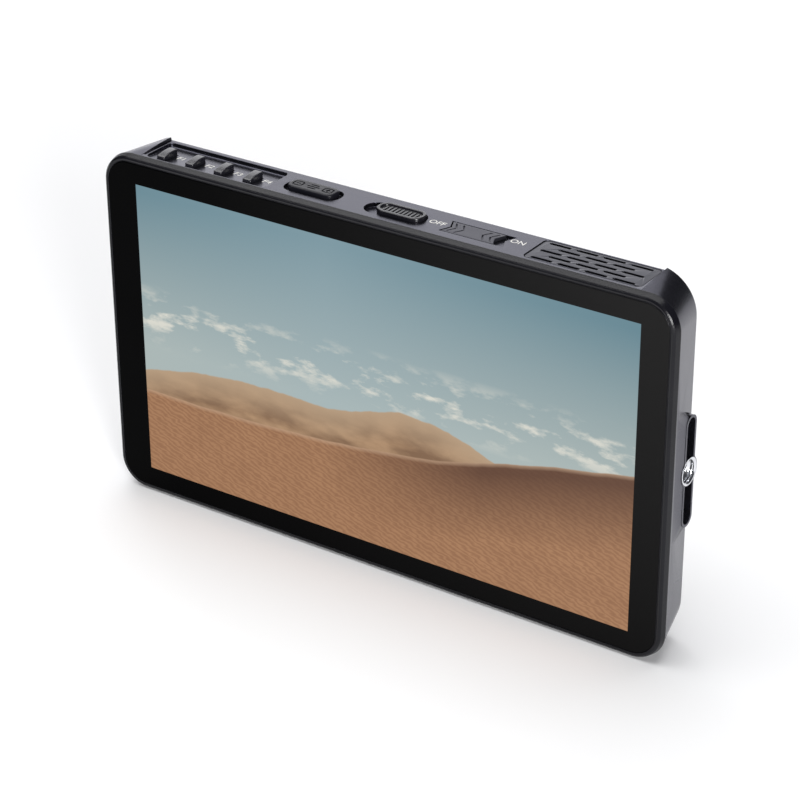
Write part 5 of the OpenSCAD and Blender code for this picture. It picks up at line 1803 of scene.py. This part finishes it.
@dataclass
class Screws:
    """Four screws with a cross recess in a domed head."""

    name: str
    node: str
    places: tuple[Place, ...]
    face_y: float
    tip_y: float
    head_r: float = 2.1
    head_t: float = 1.3
    shank_r: float = 0.98
    cross: tuple[float, float] = (1.25, 0.27)

    def build(self, dresser: Dresser) -> None:
        """Head, shank and a tapering cross recess, for each place.

        Args:
            dresser: What dresses them.
        """
        skin = Skin()
        for x, z in self.places:
            head, shank = circle(self.head_r, x, z, 10), circle(self.shank_r, x, z, 8)
            under, face = skin.stepped(Facing.BACK, [
                (head, grow, self.face_y - drop) for grow, drop in
                ((0.0, self.head_t), (0.0, 0.35), (-0.08, 0.16), (-0.3, 0.04), (-0.6, 0.0))])
            opening, floor = skin.sink(Facing.BACK, plus(*self.cross, x, z), self.face_y,
                                       [(0.03, 0), (0, 0.05), (-0.1, 0.6)])
            skin.sheet(face, opening)
            skin.sheet(floor)
            skin.sheet(under)
            skin.sweep(Facing.BACK, shank, [(-0.4, self.tip_y), (0, self.tip_y + 0.5),
                                            (0, self.face_y - self.head_t + 0.1)])
        dresser.dress(skin.build(self.name), "dark_screw", BODY, self.node)


@dataclass
class Labels:
    """Printed names of keys and switch places, laid on the surface below them."""

    housing: Housing
    size: float = 2.35
    weight: float = 0.015
    lift: float = 0.02
    key_words: tuple[tuple[str, float, float], ...] = (
        ("F1", -57.3, 6.9), ("F2", -49.15, 6.9), ("F3", -41.0, 6.9), ("F4", -32.9, 6.9))
    strip_words: tuple[tuple[str, float, float], ...] = (("OFF", 12.4, 7.5), ("ON", 32.3, 8.3))

    def word(self, text: str, x: float, depth: float, level: Level) -> bpy.types.Object:
        """A word's flat mesh, put at its place and dropped onto a surface.

        Args:
            text: The word.
            x: Its middle's place across.
            depth: Its middle's depth.
            level: The surface's level.

        Returns:
            The piece.
        """
        name = "label_" + text.lower()
        curve = bpy.data.curves.new(name, "FONT")
        curve.body = text
        curve.size = self.size
        curve.align_x, curve.align_y = "CENTER", "CENTER"
        curve.offset = self.weight
        source = into_scene(name, curve)
        bpy.context.view_layer.update()
        mesh = bpy.data.meshes.new_from_object(source.evaluated_get(bpy.context.evaluated_depsgraph_get()))
        bpy.data.objects.remove(source)
        points = np.zeros(len(mesh.vertices) * 3, np.float32)
        mesh.vertices.foreach_get("co", points)
        flat = points.reshape(-1, 3)[:, :2] + [x, depth]
        placed = Facing.TOP.place(flat, lambda loop: level_at(level, loop) + self.lift)
        mesh.vertices.foreach_set("co", placed.astype(np.float32).ravel())
        mesh.update()
        return into_scene(name, mesh)

    def build(self, dresser: Dresser) -> None:
        """Prints the keys' names on the pocket's floor and the others on the strip.

        Args:
            dresser: What dresses them.
        """
        for words, level in ((self.key_words, self.housing.pocket_floor), (self.strip_words, STRIP_Z)):
            for text, x, depth in words:
                dresser.dress(self.word(text, x, depth, level), "label_print", BODY)


NODE_FINISHES: dict[str, tuple[str, float]] = {
    "glass_tape": ("tape_black", 0), "clear_bond": ("clear_film", 0), "display_cell": ("display_cell", 0),
    "backlight_tray": ("sheet_steel", 0), "light_guide": ("clear_film", 0), "led_strip": ("led_strip", 0),
    "mid_plate": ("sheet_steel", 0), "key_board": ("circuit_board", 0), "key_switches": ("sheet_steel", 0),
    "rocker_pin": ("sheet_steel", 0), "thumb_switch": ("sheet_steel", 0), "power_switch": ("sheet_steel", 0),
    "heat_sink": ("heat_sink_aluminium", 0), "main_board": ("circuit_board", 0),
    "board_chips": ("chip_plastic", 0), "board_posts": ("post_brass", 0),
    "display_ribbon": ("ribbon_film", 0),
    "video_input_port": ("port_steel", 0.08), "video_output_port": ("port_steel", 0.08),
    "usb_port": ("port_steel", 0.06), "headphone_jack": ("chip_plastic", 0),
    "battery_plate": ("plate_plastic", 0.18), "contact_block": ("chip_plastic", 0.12),
    "contact_blades": ("gold_contact", 0.05), "battery_latch": ("latch_plastic", 0.25),
    "latch_guide": ("sheet_steel", 0),
}


def main() -> None:
    """Builds the studio, then each sub-assembly in order."""
    logging.basicConfig(level=logging.INFO, format="%(name)s: %(message)s")
    Studio().build()
    dresser = Dresser()
    housing = Housing()
    FrontFrame().build(dresser, Picture().build(dresser.effects))
    side = (housing.mount_y, housing.mount_z)
    for part in (
            housing, Grille(), *(FunctionKey(number) for number in range(1, 5)), Rocker(), ThumbSlide(),
            PowerSlide(),
            Insert("right_thread", "side_insert_right", Facing.RIGHT, side, (68.5, 75.0)),
            Insert("left_thread", "side_insert_left", Facing.LEFT, side, (68.5, 75.0)),
            Insert("bottom_thread", "bottom_insert", Facing.TOP, (0, housing.foot_y), (5.4, 0.0)),
            BackCover(),
            Screws("back_screw_heads", "back_screws", four_places(*BACK_SCREWS_AT), 22.3, 9.8),
            Screws("case_screw_heads", "case_screws", four_places(*CASE_SCREWS_AT), 13.4, 7.2),
            Labels(housing)):
        part.build(dresser)
    for node, (finish, soften) in NODE_FINISHES.items():
        dresser.dress_node(node, finish, soften)


if __name__ == "__main__":
    main()
